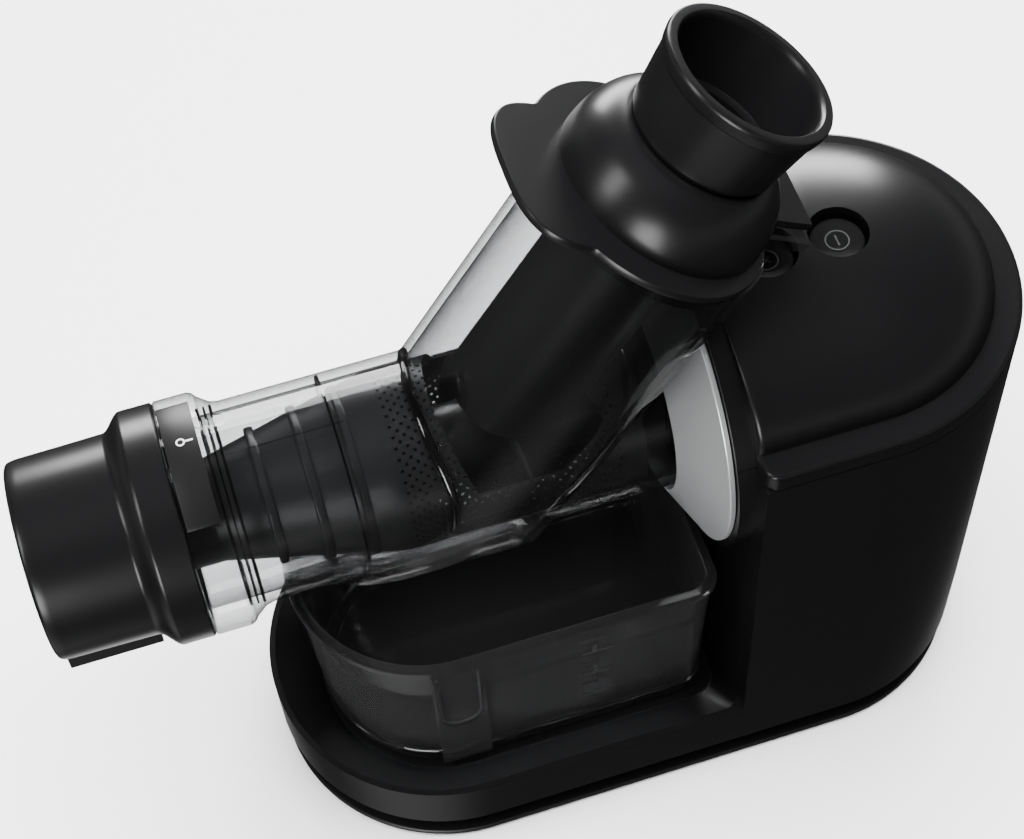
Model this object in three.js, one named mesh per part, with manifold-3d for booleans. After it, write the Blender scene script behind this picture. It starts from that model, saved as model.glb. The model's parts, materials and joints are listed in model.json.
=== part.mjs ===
// Horizontal slow juicer: a base with a motor tower, a clear drum with a leaning feed chute,
// an auger, an end cap with a pulp spout, two nested pushers and a juice container.
// Millimetres, +Z up. The drum lies along X, the tower stands at +X, and Y = 0 is the plane of symmetry.
import * as THREE from "three";
import { mergeVertices } from "three/addons/utils/BufferGeometryUtils.js";
import Module from "manifold-3d";

// ---------------------------------------------------------------- driving dimensions
const GAP = 0.3;
const LENGTH = 321;
const WIDTH = 126;
const HALF = WIDTH / 2;
const X_MIN = -LENGTH / 2;
const X_MAX = LENGTH / 2;
const WALL = 3;

// base and tower
const BASE_LEFT = -101;
const FOOT_HEIGHT = 2;
const PLATE_TOP = 5;
const HOUSING_BOTTOM = 16;
const BASE_RIM = 41;
const RECESS_FLOOR = 23;
const TOWER_FRONT = 56;
const TOWER_TOP = 190;
const TOWER_TAPER = 1.5;
const LIP_TOP = 197.7;
const DOME_TOP = 224;
const DOME_HALF = 52.6;
const TOWER_CENTRE = X_MAX - HALF;

// juicing drum, all stations along X
const DRUM_Z = 168.2;
const DRUM_R = 32.5;
const DRUM_BORE = 29.5;
const DRUM_REAR = 60;
const NOSE_R = 56.1;
const NOSE_FRONT = 50;
const RING_OUTER = 53.8;
const RING_INNER = 33.7;
const RING_HEIGHT = 10.5;
const CAP_R = 32;
const SKIRT_R = 37.6;
const CAP_SEAM = -112.5;
const NOZZLE_X = -33;

// feed chute: an oval tube that leans over the tower, flat underneath
const CHUTE_TILT = THREE.MathUtils.degToRad(58);
const CHUTE_FOOT = new THREE.Vector3(-22.6, 0, 159.6);
const CHUTE_A = 34;
const CHUTE_B = 37;
const CHUTE_FLAT = 26;
const CHUTE_WALL = 2.6;
const CHUTE_TOP = 124.1;
const FLANGE_TOP = 127.4;
const NECK = 147;
const PUSHER_RIM = 173.1;
const SMALL_BORE = 17;
const PUSHER_OFFSET = -2;
const STEM_R = 19.7;
const SCOOP_R = 30.3;
const STEM_BOTTOM = 188;
const CUP_FLOOR = 120;

// juice container
const JUG = { left: -87.7, right: 51.5, half: 47.7, floor: 24, rim: 108, wall: 2.2, corner: 9, tab: [-51, -33] };

// drive train
const GEAR_MODULE = 1.5;
const OUTPUT_TEETH = 36;
const PINION_TEETH = 10;
const WHEEL_TEETH = 28;
const MOTOR_TEETH = 9;
const CENTRE_1 = (GEAR_MODULE * (OUTPUT_TEETH + PINION_TEETH)) / 2;
const CENTRE_2 = (GEAR_MODULE * (WHEEL_TEETH + MOTOR_TEETH)) / 2;
const IDLER_Z = DRUM_Z - CENTRE_1;
const MOTOR_Z = IDLER_Z - CENTRE_2;
const GEARBOX_FRONT = 66;
const GEARBOX_REAR = 92;

// controls
const POWER_X = 100;
const REVERSE_X = 77;
const BUTTON_HOLE = 9.5;
const BOARD_Z = 200.6;

// ---------------------------------------------------------------- solids
const wasm = await Module();
wasm.setup();

function windingOut(positions, triangles) {
  let volume = 0;
  const corner = [0, 1, 2].map(() => new THREE.Vector3());
  for (let i = 0; i < triangles.length; i += 3) {
    corner.forEach((v, k) => v.fromArray(positions, 3 * triangles[i + k]));
    volume += corner[0].dot(corner[1].clone().cross(corner[2]));
  }
  if (volume > 0) return triangles;
  const flipped = [];
  for (let i = 0; i < triangles.length; i += 3) {
    flipped.push(triangles[i], triangles[i + 2], triangles[i + 1]);
  }
  return flipped;
}

// A closed geometry as a solid, with its poles and seams merged.
function solid(geometry) {
  const bare = geometry.clone();
  bare.deleteAttribute("normal");
  bare.deleteAttribute("uv");
  const merged = mergeVertices(bare, 1e-4);
  const index = merged.index.array;
  const kept = [];
  for (let i = 0; i < index.length; i += 3) {
    const [a, b, c] = [index[i], index[i + 1], index[i + 2]];
    if (a !== b && b !== c && c !== a) kept.push(a, b, c);
  }
  const positions = merged.attributes.position.array;
  const mesh = new wasm.Mesh({
    numProp: 3,
    vertProperties: new Float32Array(positions),
    triVerts: new Uint32Array(windingOut(positions, kept)),
  });
  return new wasm.Manifold(mesh);
}

const join = (first, ...rest) => rest.reduce((sum, next) => sum.add(next), first);
const cut = (first, ...rest) => rest.reduce((left, next) => left.subtract(next), first);

function block([x0, x1], [y0, y1], [z0, z1]) {
  const box = new THREE.BoxGeometry(x1 - x0, y1 - y0, z1 - z0);
  box.translate((x0 + x1) / 2, (y0 + y1) / 2, (z0 + z1) / 2);
  return solid(box);
}

// A solid of revolution about a line along X; the profile is a list of [x, radius].
function turnedX(profile, y, z, segments = 28) {
  const points = profile.map(([x, r]) => new THREE.Vector2(r, x));
  const lathe = new THREE.LatheGeometry(points, segments);
  lathe.rotateZ(-Math.PI / 2);
  lathe.scale(1, -1, 1);
  lathe.translate(0, y, z);
  return solid(lathe);
}

// A solid of revolution about a line along Z; the profile is a list of [z, radius].
function turnedZ(profile, x, y, segments = 20) {
  const points = profile.map(([z, r]) => new THREE.Vector2(r, z));
  const lathe = new THREE.LatheGeometry(points, segments);
  lathe.rotateX(Math.PI / 2);
  lathe.translate(x, y, 0);
  return solid(lathe);
}

const rodX = (x0, x1, r, y, z, n = 20) => turnedX([[x0, 0], [x0, r], [x1, r], [x1, 0]], y, z, n);
const rodZ = (z0, z1, r, x, y, n = 16) => turnedZ([[z0, 0], [z0, r], [z1, r], [z1, 0]], x, y, n);

// A skin through closed rings of equally many points, with both ends capped from their middles.
function loft(rings) {
  const count = rings[0].length;
  const positions = rings.flat().flatMap((p) => [p.x, p.y, p.z]);
  const index = [];
  for (let level = 0; level < rings.length - 1; level += 1) {
    for (let i = 0; i < count; i += 1) {
      const a = level * count + i;
      const b = level * count + ((i + 1) % count);
      index.push(a, b, b + count, a, b + count, a + count);
    }
  }
  for (const [level, flip] of [[0, true], [rings.length - 1, false]]) {
    const middle = new THREE.Vector3();
    rings[level].forEach((p) => middle.addScaledVector(p, 1 / count));
    const centre = positions.length / 3;
    positions.push(middle.x, middle.y, middle.z);
    for (let i = 0; i < count; i += 1) {
      const a = level * count + i;
      const b = level * count + ((i + 1) % count);
      index.push(...(flip ? [centre, b, a] : [centre, a, b]));
    }
  }
  const geometry = new THREE.BufferGeometry();
  geometry.setAttribute("position", new THREE.Float32BufferAttribute(positions, 3));
  geometry.setIndex(index);
  return geometry;
}

// A level outline with one corner radius at its left end and another at its right end.
function outline({ left, right, half, leftRadius, rightRadius }, z, steps = 7) {
  const corners = [
    [right - rightRadius, half - rightRadius, rightRadius, 0],
    [left + leftRadius, half - leftRadius, leftRadius, 1],
    [left + leftRadius, leftRadius - half, leftRadius, 2],
    [right - rightRadius, rightRadius - half, rightRadius, 3],
  ];
  return corners.flatMap(([x, y, radius, quarter]) =>
    Array.from({ length: steps }, (_, i) => {
      const angle = ((quarter + i / (steps - 1)) * Math.PI) / 2;
      return new THREE.Vector3(x + radius * Math.cos(angle), y + radius * Math.sin(angle), z);
    }),
  );
}

// The outline moved inwards by a distance, for walls.
function inset({ left, right, half, leftRadius, rightRadius }, by) {
  return {
    left: left + by,
    right: right - by,
    half: half - by,
    leftRadius: Math.max(leftRadius - by, 0.4),
    rightRadius: Math.max(rightRadius - by, 0.4),
  };
}

const levels = (list, steps) => solid(loft(list.map(([shape, z]) => outline(shape, z, steps))));

// ---------------------------------------------------------------- base and tower outlines
const baseOutline = {
  left: BASE_LEFT, right: X_MAX, half: HALF - 0.01, leftRadius: HALF - 0.02, rightRadius: HALF - 0.02,
};
const towerFoot = { left: TOWER_FRONT, right: X_MAX, half: HALF - 0.01, leftRadius: 4, rightRadius: HALF - 0.02 };
const towerHead = {
  ...towerFoot,
  right: X_MAX - TOWER_TAPER,
  half: HALF - TOWER_TAPER,
  rightRadius: HALF - TOWER_TAPER - 0.01,
};
const recessTop = {
  left: BASE_LEFT + 2.5, right: TOWER_FRONT - GAP, half: HALF - 2.5, leftRadius: HALF - 2.6, rightRadius: 12,
};
const recessFloor = {
  left: BASE_LEFT + 17, right: TOWER_FRONT - 1, half: 45.5, leftRadius: 45.4, rightRadius: 11,
};

const aboveSeam = block([20, 190], [-80, 80], [TOWER_TOP + GAP, 260]);
const belowSeam = block([20, 190], [-80, 80], [60, TOWER_TOP]);
const noseDisc = rodX(NOSE_FRONT, TOWER_FRONT + WALL, NOSE_R, 0, DRUM_Z, 40);
const noseBore = rodX(NOSE_FRONT - 5, TOWER_FRONT + WALL + 5, 37.4, 0, DRUM_Z, 28);

const FRONT_SCREWS = [[-40, 50.5], [-40, -50.5]];
const REAR_SCREWS = [[100, 50.5], [100, -50.5]];
const SCREWS = [...FRONT_SCREWS, ...REAR_SCREWS];
const FEET = [[-62, 34], [-62, -34], [124, 34], [124, -34]];
const GLAND_Y = 22;
const GLAND_Z = 34;

function lowerHousing() {
  const outside = join(
    levels([
      [inset(baseOutline, 0.8), HOUSING_BOTTOM],
      [baseOutline, HOUSING_BOTTOM + 1.5],
      [baseOutline, BASE_RIM - 1.5],
      [inset(baseOutline, 1.5), BASE_RIM],
    ]),
    levels([[towerFoot, HOUSING_BOTTOM + 2], [towerFoot, BASE_RIM + 8], [towerHead, TOWER_TOP]]),
    noseDisc.intersect(belowSeam),
  );
  const recess = levels([[recessFloor, RECESS_FLOOR], [recessTop, BASE_RIM + 0.5]]);
  const floorSkin = levels([
    [inset(recessFloor, -2.5), RECESS_FLOOR - 2.5],
    [inset(recessTop, -2), BASE_RIM + 0.5],
  ]);
  const baseRoom = cut(
    levels([[inset(baseOutline, WALL), HOUSING_BOTTOM - 1], [inset(baseOutline, WALL), BASE_RIM - 4]]),
    floorSkin,
  );
  const towerRoom = levels([
    [inset(towerFoot, WALL), HOUSING_BOTTOM - 1],
    [inset(towerFoot, WALL), BASE_RIM + 8],
    [inset(towerHead, WALL), TOWER_TOP + 1],
  ]);
  const hollow = cut(outside, recess, baseRoom, towerRoom, noseBore);
  const bosses = [
    ...FRONT_SCREWS.map(([x, y]) => rodZ(PLATE_TOP + GAP, RECESS_FLOOR, 4.5, x, y, 12)),
    ...REAR_SCREWS.map(([x, y]) => rodZ(PLATE_TOP + GAP, BASE_RIM, 4.5, x, y, 12)),
  ];
  const ribs = REAR_SCREWS.map(([x, y]) => {
    const side = Math.sign(y);
    return block([x - 2, x + 2], [50.5 * side, 60 * side].sort((a, b) => a - b), [PLATE_TOP + 14, BASE_RIM]);
  });
  const pilots = SCREWS.map(([x, y]) => rodZ(PLATE_TOP - 2, 17.5, 1.9, x, y, 8));
  const glandHole = rodX(X_MAX - 16, X_MAX + 5, 6.3, GLAND_Y, GLAND_Z, 16);
  return cut(join(hollow, ...bosses, ...ribs), ...pilots, glandHole);
}

function basePlate() {
  const plate = join(
    levels([
      [inset(baseOutline, 2.2), FOOT_HEIGHT],
      [inset(baseOutline, 0.7), FOOT_HEIGHT + 1.5],
      [inset(baseOutline, 0.7), PLATE_TOP],
    ]),
    levels([[inset(baseOutline, 5.2), PLATE_TOP - 1], [inset(baseOutline, 5.2), HOUSING_BOTTOM + 2]]),
  );
  const tray = levels([[inset(baseOutline, 7.6), PLATE_TOP], [inset(baseOutline, 7.6), HOUSING_BOTTOM + 3]]);
  const screwHoles = SCREWS.map(([x, y]) =>
    turnedZ([[1, 0], [1, 3.8], [3.6, 3.8], [3.6, 2.1], [6, 2.1], [6, 0]], x, y, 10),
  );
  const footHoles = FEET.map(([x, y]) => rodZ(1, 6, 2.9, x, y, 8));
  const vents = [0, 1, 2, 3, 4].map((i) => block([66 + 10 * i, 70 + 10 * i], [-22, 22], [1, 6]));
  return cut(plate, tray, ...screwHoles, ...footHoles, ...vents);
}

const rubberFoot = ([x, y]) =>
  turnedZ([[0, 0], [0, 9], [FOOT_HEIGHT - GAP, 9], [FOOT_HEIGHT - GAP, 2.4], [6.5, 2.4], [6.5, 0]], x, y, 14);

const baseScrew = ([x, y]) =>
  turnedZ([[1.4, 0], [1.4, 3.4], [3.3, 3.4], [3.3, 1.6], [16.8, 1.6], [16.8, 0]], x, y, 8);

// The dome: an elliptical vault along X that closes in a round end over the tower's back.
function domeShape(by, steps, rows) {
  const rise = DOME_TOP - LIP_TOP - by;
  const list = [];
  for (let i = 0; i <= rows; i += 1) {
    const angle = (i / rows) * THREE.MathUtils.degToRad(84);
    const half = (DOME_HALF - by) * Math.cos(angle);
    const shape = {
      left: TOWER_FRONT + by, right: TOWER_CENTRE + half, half, leftRadius: Math.min(2, half / 2), rightRadius: half - 0.01,
    };
    list.push([shape, LIP_TOP + rise * Math.sin(angle)]);
  }
  return list.map(([shape, z]) => outline(shape, z, steps));
}

function topCover() {
  const lip = towerHead;
  const outside = join(
    levels([[lip, TOWER_TOP + GAP], [lip, LIP_TOP - 1.6], [inset(lip, 1.6), LIP_TOP]]),
    solid(loft([outline(domeOutline(0), LIP_TOP - 1, 7), ...domeShape(0, 7, 6)])),
    noseDisc.intersect(aboveSeam),
  );
  const room = join(
    levels([[inset(lip, WALL), TOWER_TOP - 1], [inset(lip, WALL), LIP_TOP - 2.5]]),
    solid(loft([outline(domeOutline(2.6), LIP_TOP - 4, 5), ...domeShape(2.6, 5, 4)])),
  );
  const sleeves = [POWER_X, REVERSE_X].map((x) => rodZ(209, DOME_TOP - 1.5, BUTTON_HOLE + 1.8, x, 0, 16));
  const holes = [POWER_X, REVERSE_X].map((x) => rodZ(205, 230, BUTTON_HOLE, x, 0, 20));
  return cut(join(cut(outside, room), ...sleeves), ...holes, noseBore);
}

function domeOutline(by) {
  const half = DOME_HALF - by;
  return { left: TOWER_FRONT + by, right: TOWER_CENTRE + half, half, leftRadius: 2, rightRadius: half - 0.01 };
}

// ---------------------------------------------------------------- collar ring and drum socket
const collarRing = () => {
  const back = NOSE_FRONT - GAP;
  const tip = NOSE_FRONT - 2 - RING_HEIGHT;
  return turnedX([
    [tip, RING_INNER], [back - 1.7, RING_OUTER], [back, RING_OUTER], [back, RING_OUTER - 3],
    [tip + 2.6, RING_INNER + 1.6], [back - 4, RING_INNER + 1.6], [back - 4, RING_INNER], [tip, RING_INNER],
  ], 0, DRUM_Z, 32);
};

const drumSocket = () => turnedX([
  [NOSE_FRONT - 3, 33.2], [NOSE_FRONT - 3, 36.4], [TOWER_FRONT + WALL + GAP, 36.4], [TOWER_FRONT + WALL + GAP, 44],
  [62, 44], [62, 36.4], [63.6, 34], [63.6, 8], [61, 8], [61, 33.2], [NOSE_FRONT - 3, 33.2],
], 0, DRUM_Z, 28);

const shaftSeal = () => turnedX([[57.5, 10.9], [57.5, 14], [55.2, 14], [55.2, 10.9], [57.5, 10.9]].map(
  ([x, r]) => [x - 1, r]), 0, DRUM_Z, 20);

// ---------------------------------------------------------------- gears
// A spur gear with straight-sided teeth, slimmer than its pitch so that it runs freely.
function gear(x0, x1, teeth, z, phase, bore) {
  const pitch = (GEAR_MODULE * teeth) / 2;
  const tip = pitch + 0.85 * GEAR_MODULE;
  const root = pitch - 1.1 * GEAR_MODULE;
  const step = (2 * Math.PI) / teeth;
  const points = [];
  for (let i = 0; i < teeth; i += 1) {
    const middle = phase + i * step;
    const tooth = [[-0.31, root], [-0.12, tip], [0.12, tip], [0.31, root]];
    tooth.forEach(([share, r]) => {
      const angle = middle + share * step;
      points.push(new THREE.Vector2(r * Math.cos(angle), r * Math.sin(angle)));
    });
  }
  const shape = new THREE.Shape(points);
  if (bore > 0) shape.holes.push(new THREE.Path().absarc(0, 0, bore, 0, 2 * Math.PI, true));
  const flat = new THREE.ExtrudeGeometry(shape, { depth: x1 - x0, bevelEnabled: false, curveSegments: 8 });
  flat.applyMatrix4(new THREE.Matrix4().makeBasis(
    new THREE.Vector3(0, 1, 0), new THREE.Vector3(0, 0, 1), new THREE.Vector3(1, 0, 0),
  ));
  flat.translate(x0, 0, z);
  return solid(flat);
}

const DOWN = -Math.PI / 2;
const UP = Math.PI / 2;

function outputGear() {
  const phase = DOWN + Math.PI / OUTPUT_TEETH;
  return join(gear(71, 79, OUTPUT_TEETH, DRUM_Z, phase, 7.3), turnedX(
    [[79, 7.3], [79, 11], [84, 11], [84, 7.3], [79, 7.3]], 0, DRUM_Z, 20));
}

function driveShaft() {
  const hex = rodX(42, 70, 5.8, 0, DRUM_Z, 6);
  const round = rodX(65, GEARBOX_REAR + 2, 7, 0, DRUM_Z, 20);
  return join(hex, round);
}

function compoundGear() {
  return join(
    gear(70.5, 80.2, PINION_TEETH, IDLER_Z, UP, 0),
    rodX(80, 81.6, 6.5, 0, IDLER_Z, 16),
    gear(81.5, 88, WHEEL_TEETH, IDLER_Z, DOWN, 0),
    rodX(GEARBOX_FRONT + 0.4, GEARBOX_REAR + 2.6, 3, 0, IDLER_Z, 12),
  );
}

function motorShaft() {
  return join(
    gear(80.6, 89.5, MOTOR_TEETH, MOTOR_Z, UP + Math.PI / MOTOR_TEETH, 0),
    rodX(80, MOTOR_REAR + 3, 2.5, 0, MOTOR_Z, 10),
  );
}

// ---------------------------------------------------------------- gearbox and motor
const MOTOR_R = 28;
const MOTOR_FRONT = 96.5;
const MOTOR_REAR = 143;

function gearboxOutline(by, x0, x1) {
  const wide = 34 - by;
  const points = [];
  for (let i = 0; i <= 10; i += 1) {
    const angle = (i / 10) * Math.PI;
    points.push(new THREE.Vector2(wide * Math.cos(angle), DRUM_Z + (31.3 - by) * Math.sin(angle)));
  }
  for (let i = 0; i <= 10; i += 1) {
    const angle = Math.PI + (i / 10) * Math.PI;
    points.push(new THREE.Vector2(wide * Math.cos(angle), MOTOR_Z + 22 + wide * Math.sin(angle)));
  }
  const flat = new THREE.ExtrudeGeometry(new THREE.Shape(points), { depth: x1 - x0, bevelEnabled: false });
  flat.applyMatrix4(new THREE.Matrix4().makeBasis(
    new THREE.Vector3(0, 1, 0), new THREE.Vector3(0, 0, 1), new THREE.Vector3(1, 0, 0),
  ));
  flat.translate(x0, 0, 0);
  return solid(flat);
}

function gearboxCase() {
  const shell = cut(
    gearboxOutline(0, GEARBOX_FRONT, GEARBOX_REAR - GAP),
    gearboxOutline(2.4, GEARBOX_FRONT + 2.6, GEARBOX_REAR + 1),
  );
  return cut(shell, rodX(GEARBOX_FRONT - 1, 70, 10.6, 0, DRUM_Z, 16), rodX(GEARBOX_FRONT - 1, 70, 3.4, 0, IDLER_Z, 10));
}

function gearboxCover() {
  const plate = gearboxOutline(0, GEARBOX_REAR, GEARBOX_REAR + 3);
  return cut(plate, ...[[7.4, DRUM_Z], [3.4, IDLER_Z], [9, MOTOR_Z]].map(([r, z]) => rodX(80, 100, r, 0, z, 16)));
}

const outputBearing = () => turnedX(
  [[GEARBOX_FRONT, 7.3], [GEARBOX_FRONT, 10.1], [70, 10.1], [70, 7.3], [GEARBOX_FRONT, 7.3]], 0, DRUM_Z, 16);

const motorCase = () => turnedX([
  [MOTOR_FRONT, 4], [MOTOR_FRONT, MOTOR_R - 3], [MOTOR_FRONT + 3, MOTOR_R], [MOTOR_REAR, MOTOR_R],
  [MOTOR_REAR, MOTOR_R - 2.2], [MOTOR_FRONT + 2.5, MOTOR_R - 2.2], [MOTOR_FRONT + 2.5, 4], [MOTOR_FRONT, 4],
], 0, MOTOR_Z, 24);

const motorEndCap = () => turnedX([
  [MOTOR_REAR + GAP, 3.2], [MOTOR_REAR + GAP, MOTOR_R], [MOTOR_REAR + 2, MOTOR_R], [MOTOR_REAR + 4, 12],
  [MOTOR_REAR + 4, 3.2], [MOTOR_REAR + GAP, 3.2],
], 0, MOTOR_Z, 24);

const rotorCore = () =>
  turnedX([[102, 2.8], [102, 17], [122, 17], [122, 11], [130, 11], [130, 2.8], [102, 2.8]], 0, MOTOR_Z, 16);

function coolingFan() {
  const hub = turnedX([[132, 2.8], [132, 7], [139, 7], [139, 2.8], [132, 2.8]], 0, MOTOR_Z, 12);
  const blades = [0, 1, 2, 3, 4].map((i) => {
    const blade = new THREE.BoxGeometry(6, 1.4, 17);
    blade.rotateZ(0.5);
    blade.translate(0, 0, 14);
    blade.rotateX((i * 2 * Math.PI) / 5);
    blade.translate(135.5, 0, MOTOR_Z);
    return solid(blade);
  });
  return join(hub, ...blades);
}

// A cradle that stands on the base plate and carries the motor can.
function motorBracket() {
  const plate = block([112, 134], [-24, 24], [PLATE_TOP + GAP, MOTOR_Z - 4]);
  const legs = cut(plate, block([110, 136], [-19, 19], [PLATE_TOP + 4, MOTOR_Z - MOTOR_R - 8]));
  return cut(legs, rodX(90, 150, MOTOR_R + GAP, 0, MOTOR_Z, 24));
}

// ---------------------------------------------------------------- controls
const controlBoard = () => cut(
  block([64, 124], [-20, 20], [BOARD_Z, BOARD_Z + 1.6]),
  rodZ(BOARD_Z - 1, BOARD_Z + 3, 1.6, 120, 15, 10), rodZ(BOARD_Z - 1, BOARD_Z + 3, 1.6, 120, -15, 10),
);
const tactSwitch = (x) => join(
  block([x - 4, x + 4], [-4, 4], [BOARD_Z + 1.6 + GAP, BOARD_Z + 3.4]),
  rodZ(BOARD_Z + 3, BOARD_Z + 4.4, 1.8, x, 0, 12),
);

// A round push button: dished face, skirt in its sleeve and a stem over its switch.
const pushButton = (x) => turnedZ([
  [DOME_TOP - 2.9, 0], [DOME_TOP - 2.6, 6], [DOME_TOP - 2.3, BUTTON_HOLE - 0.9], [DOME_TOP - 3, BUTTON_HOLE - 0.4],
  [211, BUTTON_HOLE - 0.4], [211, 3], [BOARD_Z + 6.4, 3], [BOARD_Z + 6.4, 0],
], x, 0, 20);

const interlockSwitch = () => block([62.3, 68], [34, 41], [184, 194]);

const cordGland = () => turnedX([
  [145, 0], [145, 9], [147.8, 9], [147.8, 6], [X_MAX - 5, 6], [X_MAX - 5, 3.4], [153, 3.4], [153, 0],
], GLAND_Y, GLAND_Z, 16);

// ---------------------------------------------------------------- chute frame
// Local x runs towards the tower square to the chute, local y is Y, and local z climbs the chute.
const chuteFrame = new THREE.Matrix4().makeBasis(
  new THREE.Vector3(Math.sin(CHUTE_TILT), 0, -Math.cos(CHUTE_TILT)),
  new THREE.Vector3(0, 1, 0),
  new THREE.Vector3(Math.cos(CHUTE_TILT), 0, Math.sin(CHUTE_TILT)),
).setPosition(CHUTE_FOOT);

function inChute(geometry) {
  return solid(geometry.applyMatrix4(chuteFrame));
}

function oval(a, b, flat, s, count = 32, centre = 0) {
  return Array.from({ length: count }, (_, i) => {
    const angle = (i / count) * 2 * Math.PI;
    return new THREE.Vector3(centre + Math.min(a * Math.cos(angle), flat), b * Math.sin(angle), s);
  });
}

// An oval tube, flat on the tower side, between two distances up the chute.
const ovalRod = (shrink, s0, s1, count = 32) => inChute(loft([s0, s1].map(
  (s) => oval(CHUTE_A - shrink, CHUTE_B - shrink, CHUTE_FLAT - shrink, s, count))));

// A body of revolution along the chute, its profile a list of [s, radius].
function turnedChute(profile, segments = 24, centre = 0) {
  const lathe = new THREE.LatheGeometry(profile.map(([s, r]) => new THREE.Vector2(r, s)), segments);
  lathe.rotateX(Math.PI / 2);
  lathe.translate(centre, 0, 0);
  return inChute(lathe);
}

const plateChute = (e0, e1, y0, y1, s0, s1) => {
  const box = new THREE.BoxGeometry(e1 - e0, y1 - y0, s1 - s0);
  box.translate((e0 + e1) / 2, (y0 + y1) / 2, (s0 + s1) / 2);
  return inChute(box);
};

// The space above the drum's axis, or inside a cylinder round it: the chute ends there.
const chuteEnd = (radius) => join(
  block([-140, 120], [-80, 80], [DRUM_Z, 340]),
  rodX(-140, 120, radius, 0, DRUM_Z, 32),
);

function juicingDrum() {
  const tube = turnedX([
    [-123, 0], [-123, DRUM_R], [CAP_SEAM + GAP, DRUM_R], [CAP_SEAM + GAP, SKIRT_R], [-100.5, SKIRT_R],
    [-99, SKIRT_R - 1.2], [-94, DRUM_R], [DRUM_REAR, DRUM_R], [DRUM_REAR, 0],
  ], 0, DRUM_Z, 32);
  const chute = ovalRod(0, -45, CHUTE_TOP).intersect(chuteEnd(37.6));
  const mouth = join(
    inChute(loft([120.6, CHUTE_TOP].map((s) => oval(37, 39.5, 60, s, 28, -4)))),
    plateChute(20, 49, -12, 22, 120.6, CHUTE_TOP),
  );
  const nozzle = rodZ(118, DRUM_Z - DRUM_R + 4, 9, NOZZLE_X, 0, 16);
  const nozzleBore = rodZ(110, DRUM_Z, 7, NOZZLE_X, 0, 16);
  const throat = ovalRod(CHUTE_WALL, -45, CHUTE_TOP + 10).intersect(chuteEnd(34.6));
  const bore = rodX(-130, 57, DRUM_BORE, 0, DRUM_Z, 32);
  return cut(join(tube, chute, mouth, nozzle), throat, bore, nozzleBore, rodX(50, 70, 10.8, 0, DRUM_Z, 16));
}

// ---------------------------------------------------------------- strainer and auger
// The strainer is a sleeve under the chute and a cone ahead of it.
const STRAINER = { front: -121, rear: 30, coneFront: -103.6, coneRear: -47.5, tip: 16.3, r: 29.1, wall: 1.4 };

function strainerRadius(x) {
  const share = (x - STRAINER.coneFront) / (STRAINER.coneRear - STRAINER.coneFront);
  return THREE.MathUtils.lerp(STRAINER.tip, STRAINER.r, THREE.MathUtils.clamp(share, 0, 1));
}

function strainer() {
  const { front, rear, coneFront, coneRear, tip, r, wall } = STRAINER;
  const sleeve = turnedX([
    [front, tip - wall], [front, r], [front + 2, r], [front + 2, tip], [coneFront, tip], [coneRear, r], [rear, r],
    [rear, r - wall], [coneRear, r - wall], [coneFront, tip - wall], [front, tip - wall],
  ], 0, DRUM_Z, 28);
  const rings = [[-86, 22.1], [-71.7, 24.9]].map(([x, outer]) => turnedX([
    [x - 1.5, strainerRadius(x) - 1.2], [x - 1.5, outer], [x + 1.5, outer], [x + 1.5, strainerRadius(x) - 1.2],
    [x - 1.5, strainerRadius(x) - 1.2],
  ], 0, DRUM_Z, 24));
  const feed = ovalRod(7, 0, 80, 20).intersect(block([-60, 60], [-50, 50], [DRUM_Z + 9, 260]));
  return cut(join(sleeve, ...rings), feed);
}

// A screw flight: a blade that winds round the X axis from one station to another.
function flight(x0, x1, turns, inner, outerAt, thickness) {
  const perTurn = 14;
  const count = Math.round(turns * perTurn);
  const rings = [];
  for (let i = 0; i <= count; i += 1) {
    const share = i / count;
    const angle = share * turns * 2 * Math.PI;
    const x = x0 + (x1 - x0) * share;
    const place = (along, r) => new THREE.Vector3(along, r * Math.cos(angle), DRUM_Z + r * Math.sin(angle));
    const outer = outerAt(x);
    rings.push([
      place(x - thickness, inner), place(x - thickness / 2, outer),
      place(x + thickness / 2, outer), place(x + thickness, inner),
    ]);
  }
  return solid(loft(rings));
}

const AUGER_FRONT = -124;
const AUGER_REAR = 59.4;

function auger() {
  const core = turnedX([
    [AUGER_FRONT, 0], [AUGER_FRONT, 6], [-119, 7.5], [-112, 9], [-60, 13.5], [20, 11.5], [30, 17], [40, 17],
    [42, 10], [AUGER_REAR, 10], [AUGER_REAR, 0],
  ], 0, DRUM_Z, 16);
  const reach = (x) => strainerRadius(x) - 2.2;
  const screw = join(core, flight(-114, 26, 4.5, 8, reach, 1.8));
  return cut(screw, rodX(41.5, AUGER_REAR + 1, 6.2, 0, DRUM_Z, 6));
}

// ---------------------------------------------------------------- end cap
function endCap() {
  const spoutX = [X_MIN, X_MIN + 30.5];
  const shell = join(
    turnedX([
      [X_MIN, 0], [X_MIN, CAP_R - 1.6], [X_MIN + 1.6, CAP_R], [-127, CAP_R + 0.5], [-121, SKIRT_R],
      [CAP_SEAM, SKIRT_R], [CAP_SEAM, 0],
    ], 0, DRUM_Z, 32),
    block(spoutX, [-17, 17], [126.5, DRUM_Z]),
  );
  const room = join(
    turnedX([
      [X_MIN + 2.6, 0], [X_MIN + 2.6, CAP_R - 3], [-126, CAP_R - 2.6], [-124.6, DRUM_R + 1], [-108, DRUM_R + 1],
      [-108, 0],
    ], 0, DRUM_Z, 28),
    block([spoutX[0] + 2.6, spoutX[1] - 2.4], [-14.6, 14.6], [120, DRUM_Z]),
  );
  return cut(shell, room);
}

const capSeal = () => turnedX(
  [[-117, 32.8], [-117, 33.3], [-114.5, 33.3], [-114.5, 32.8], [-117, 32.8]], 0, DRUM_Z, 28);

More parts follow.
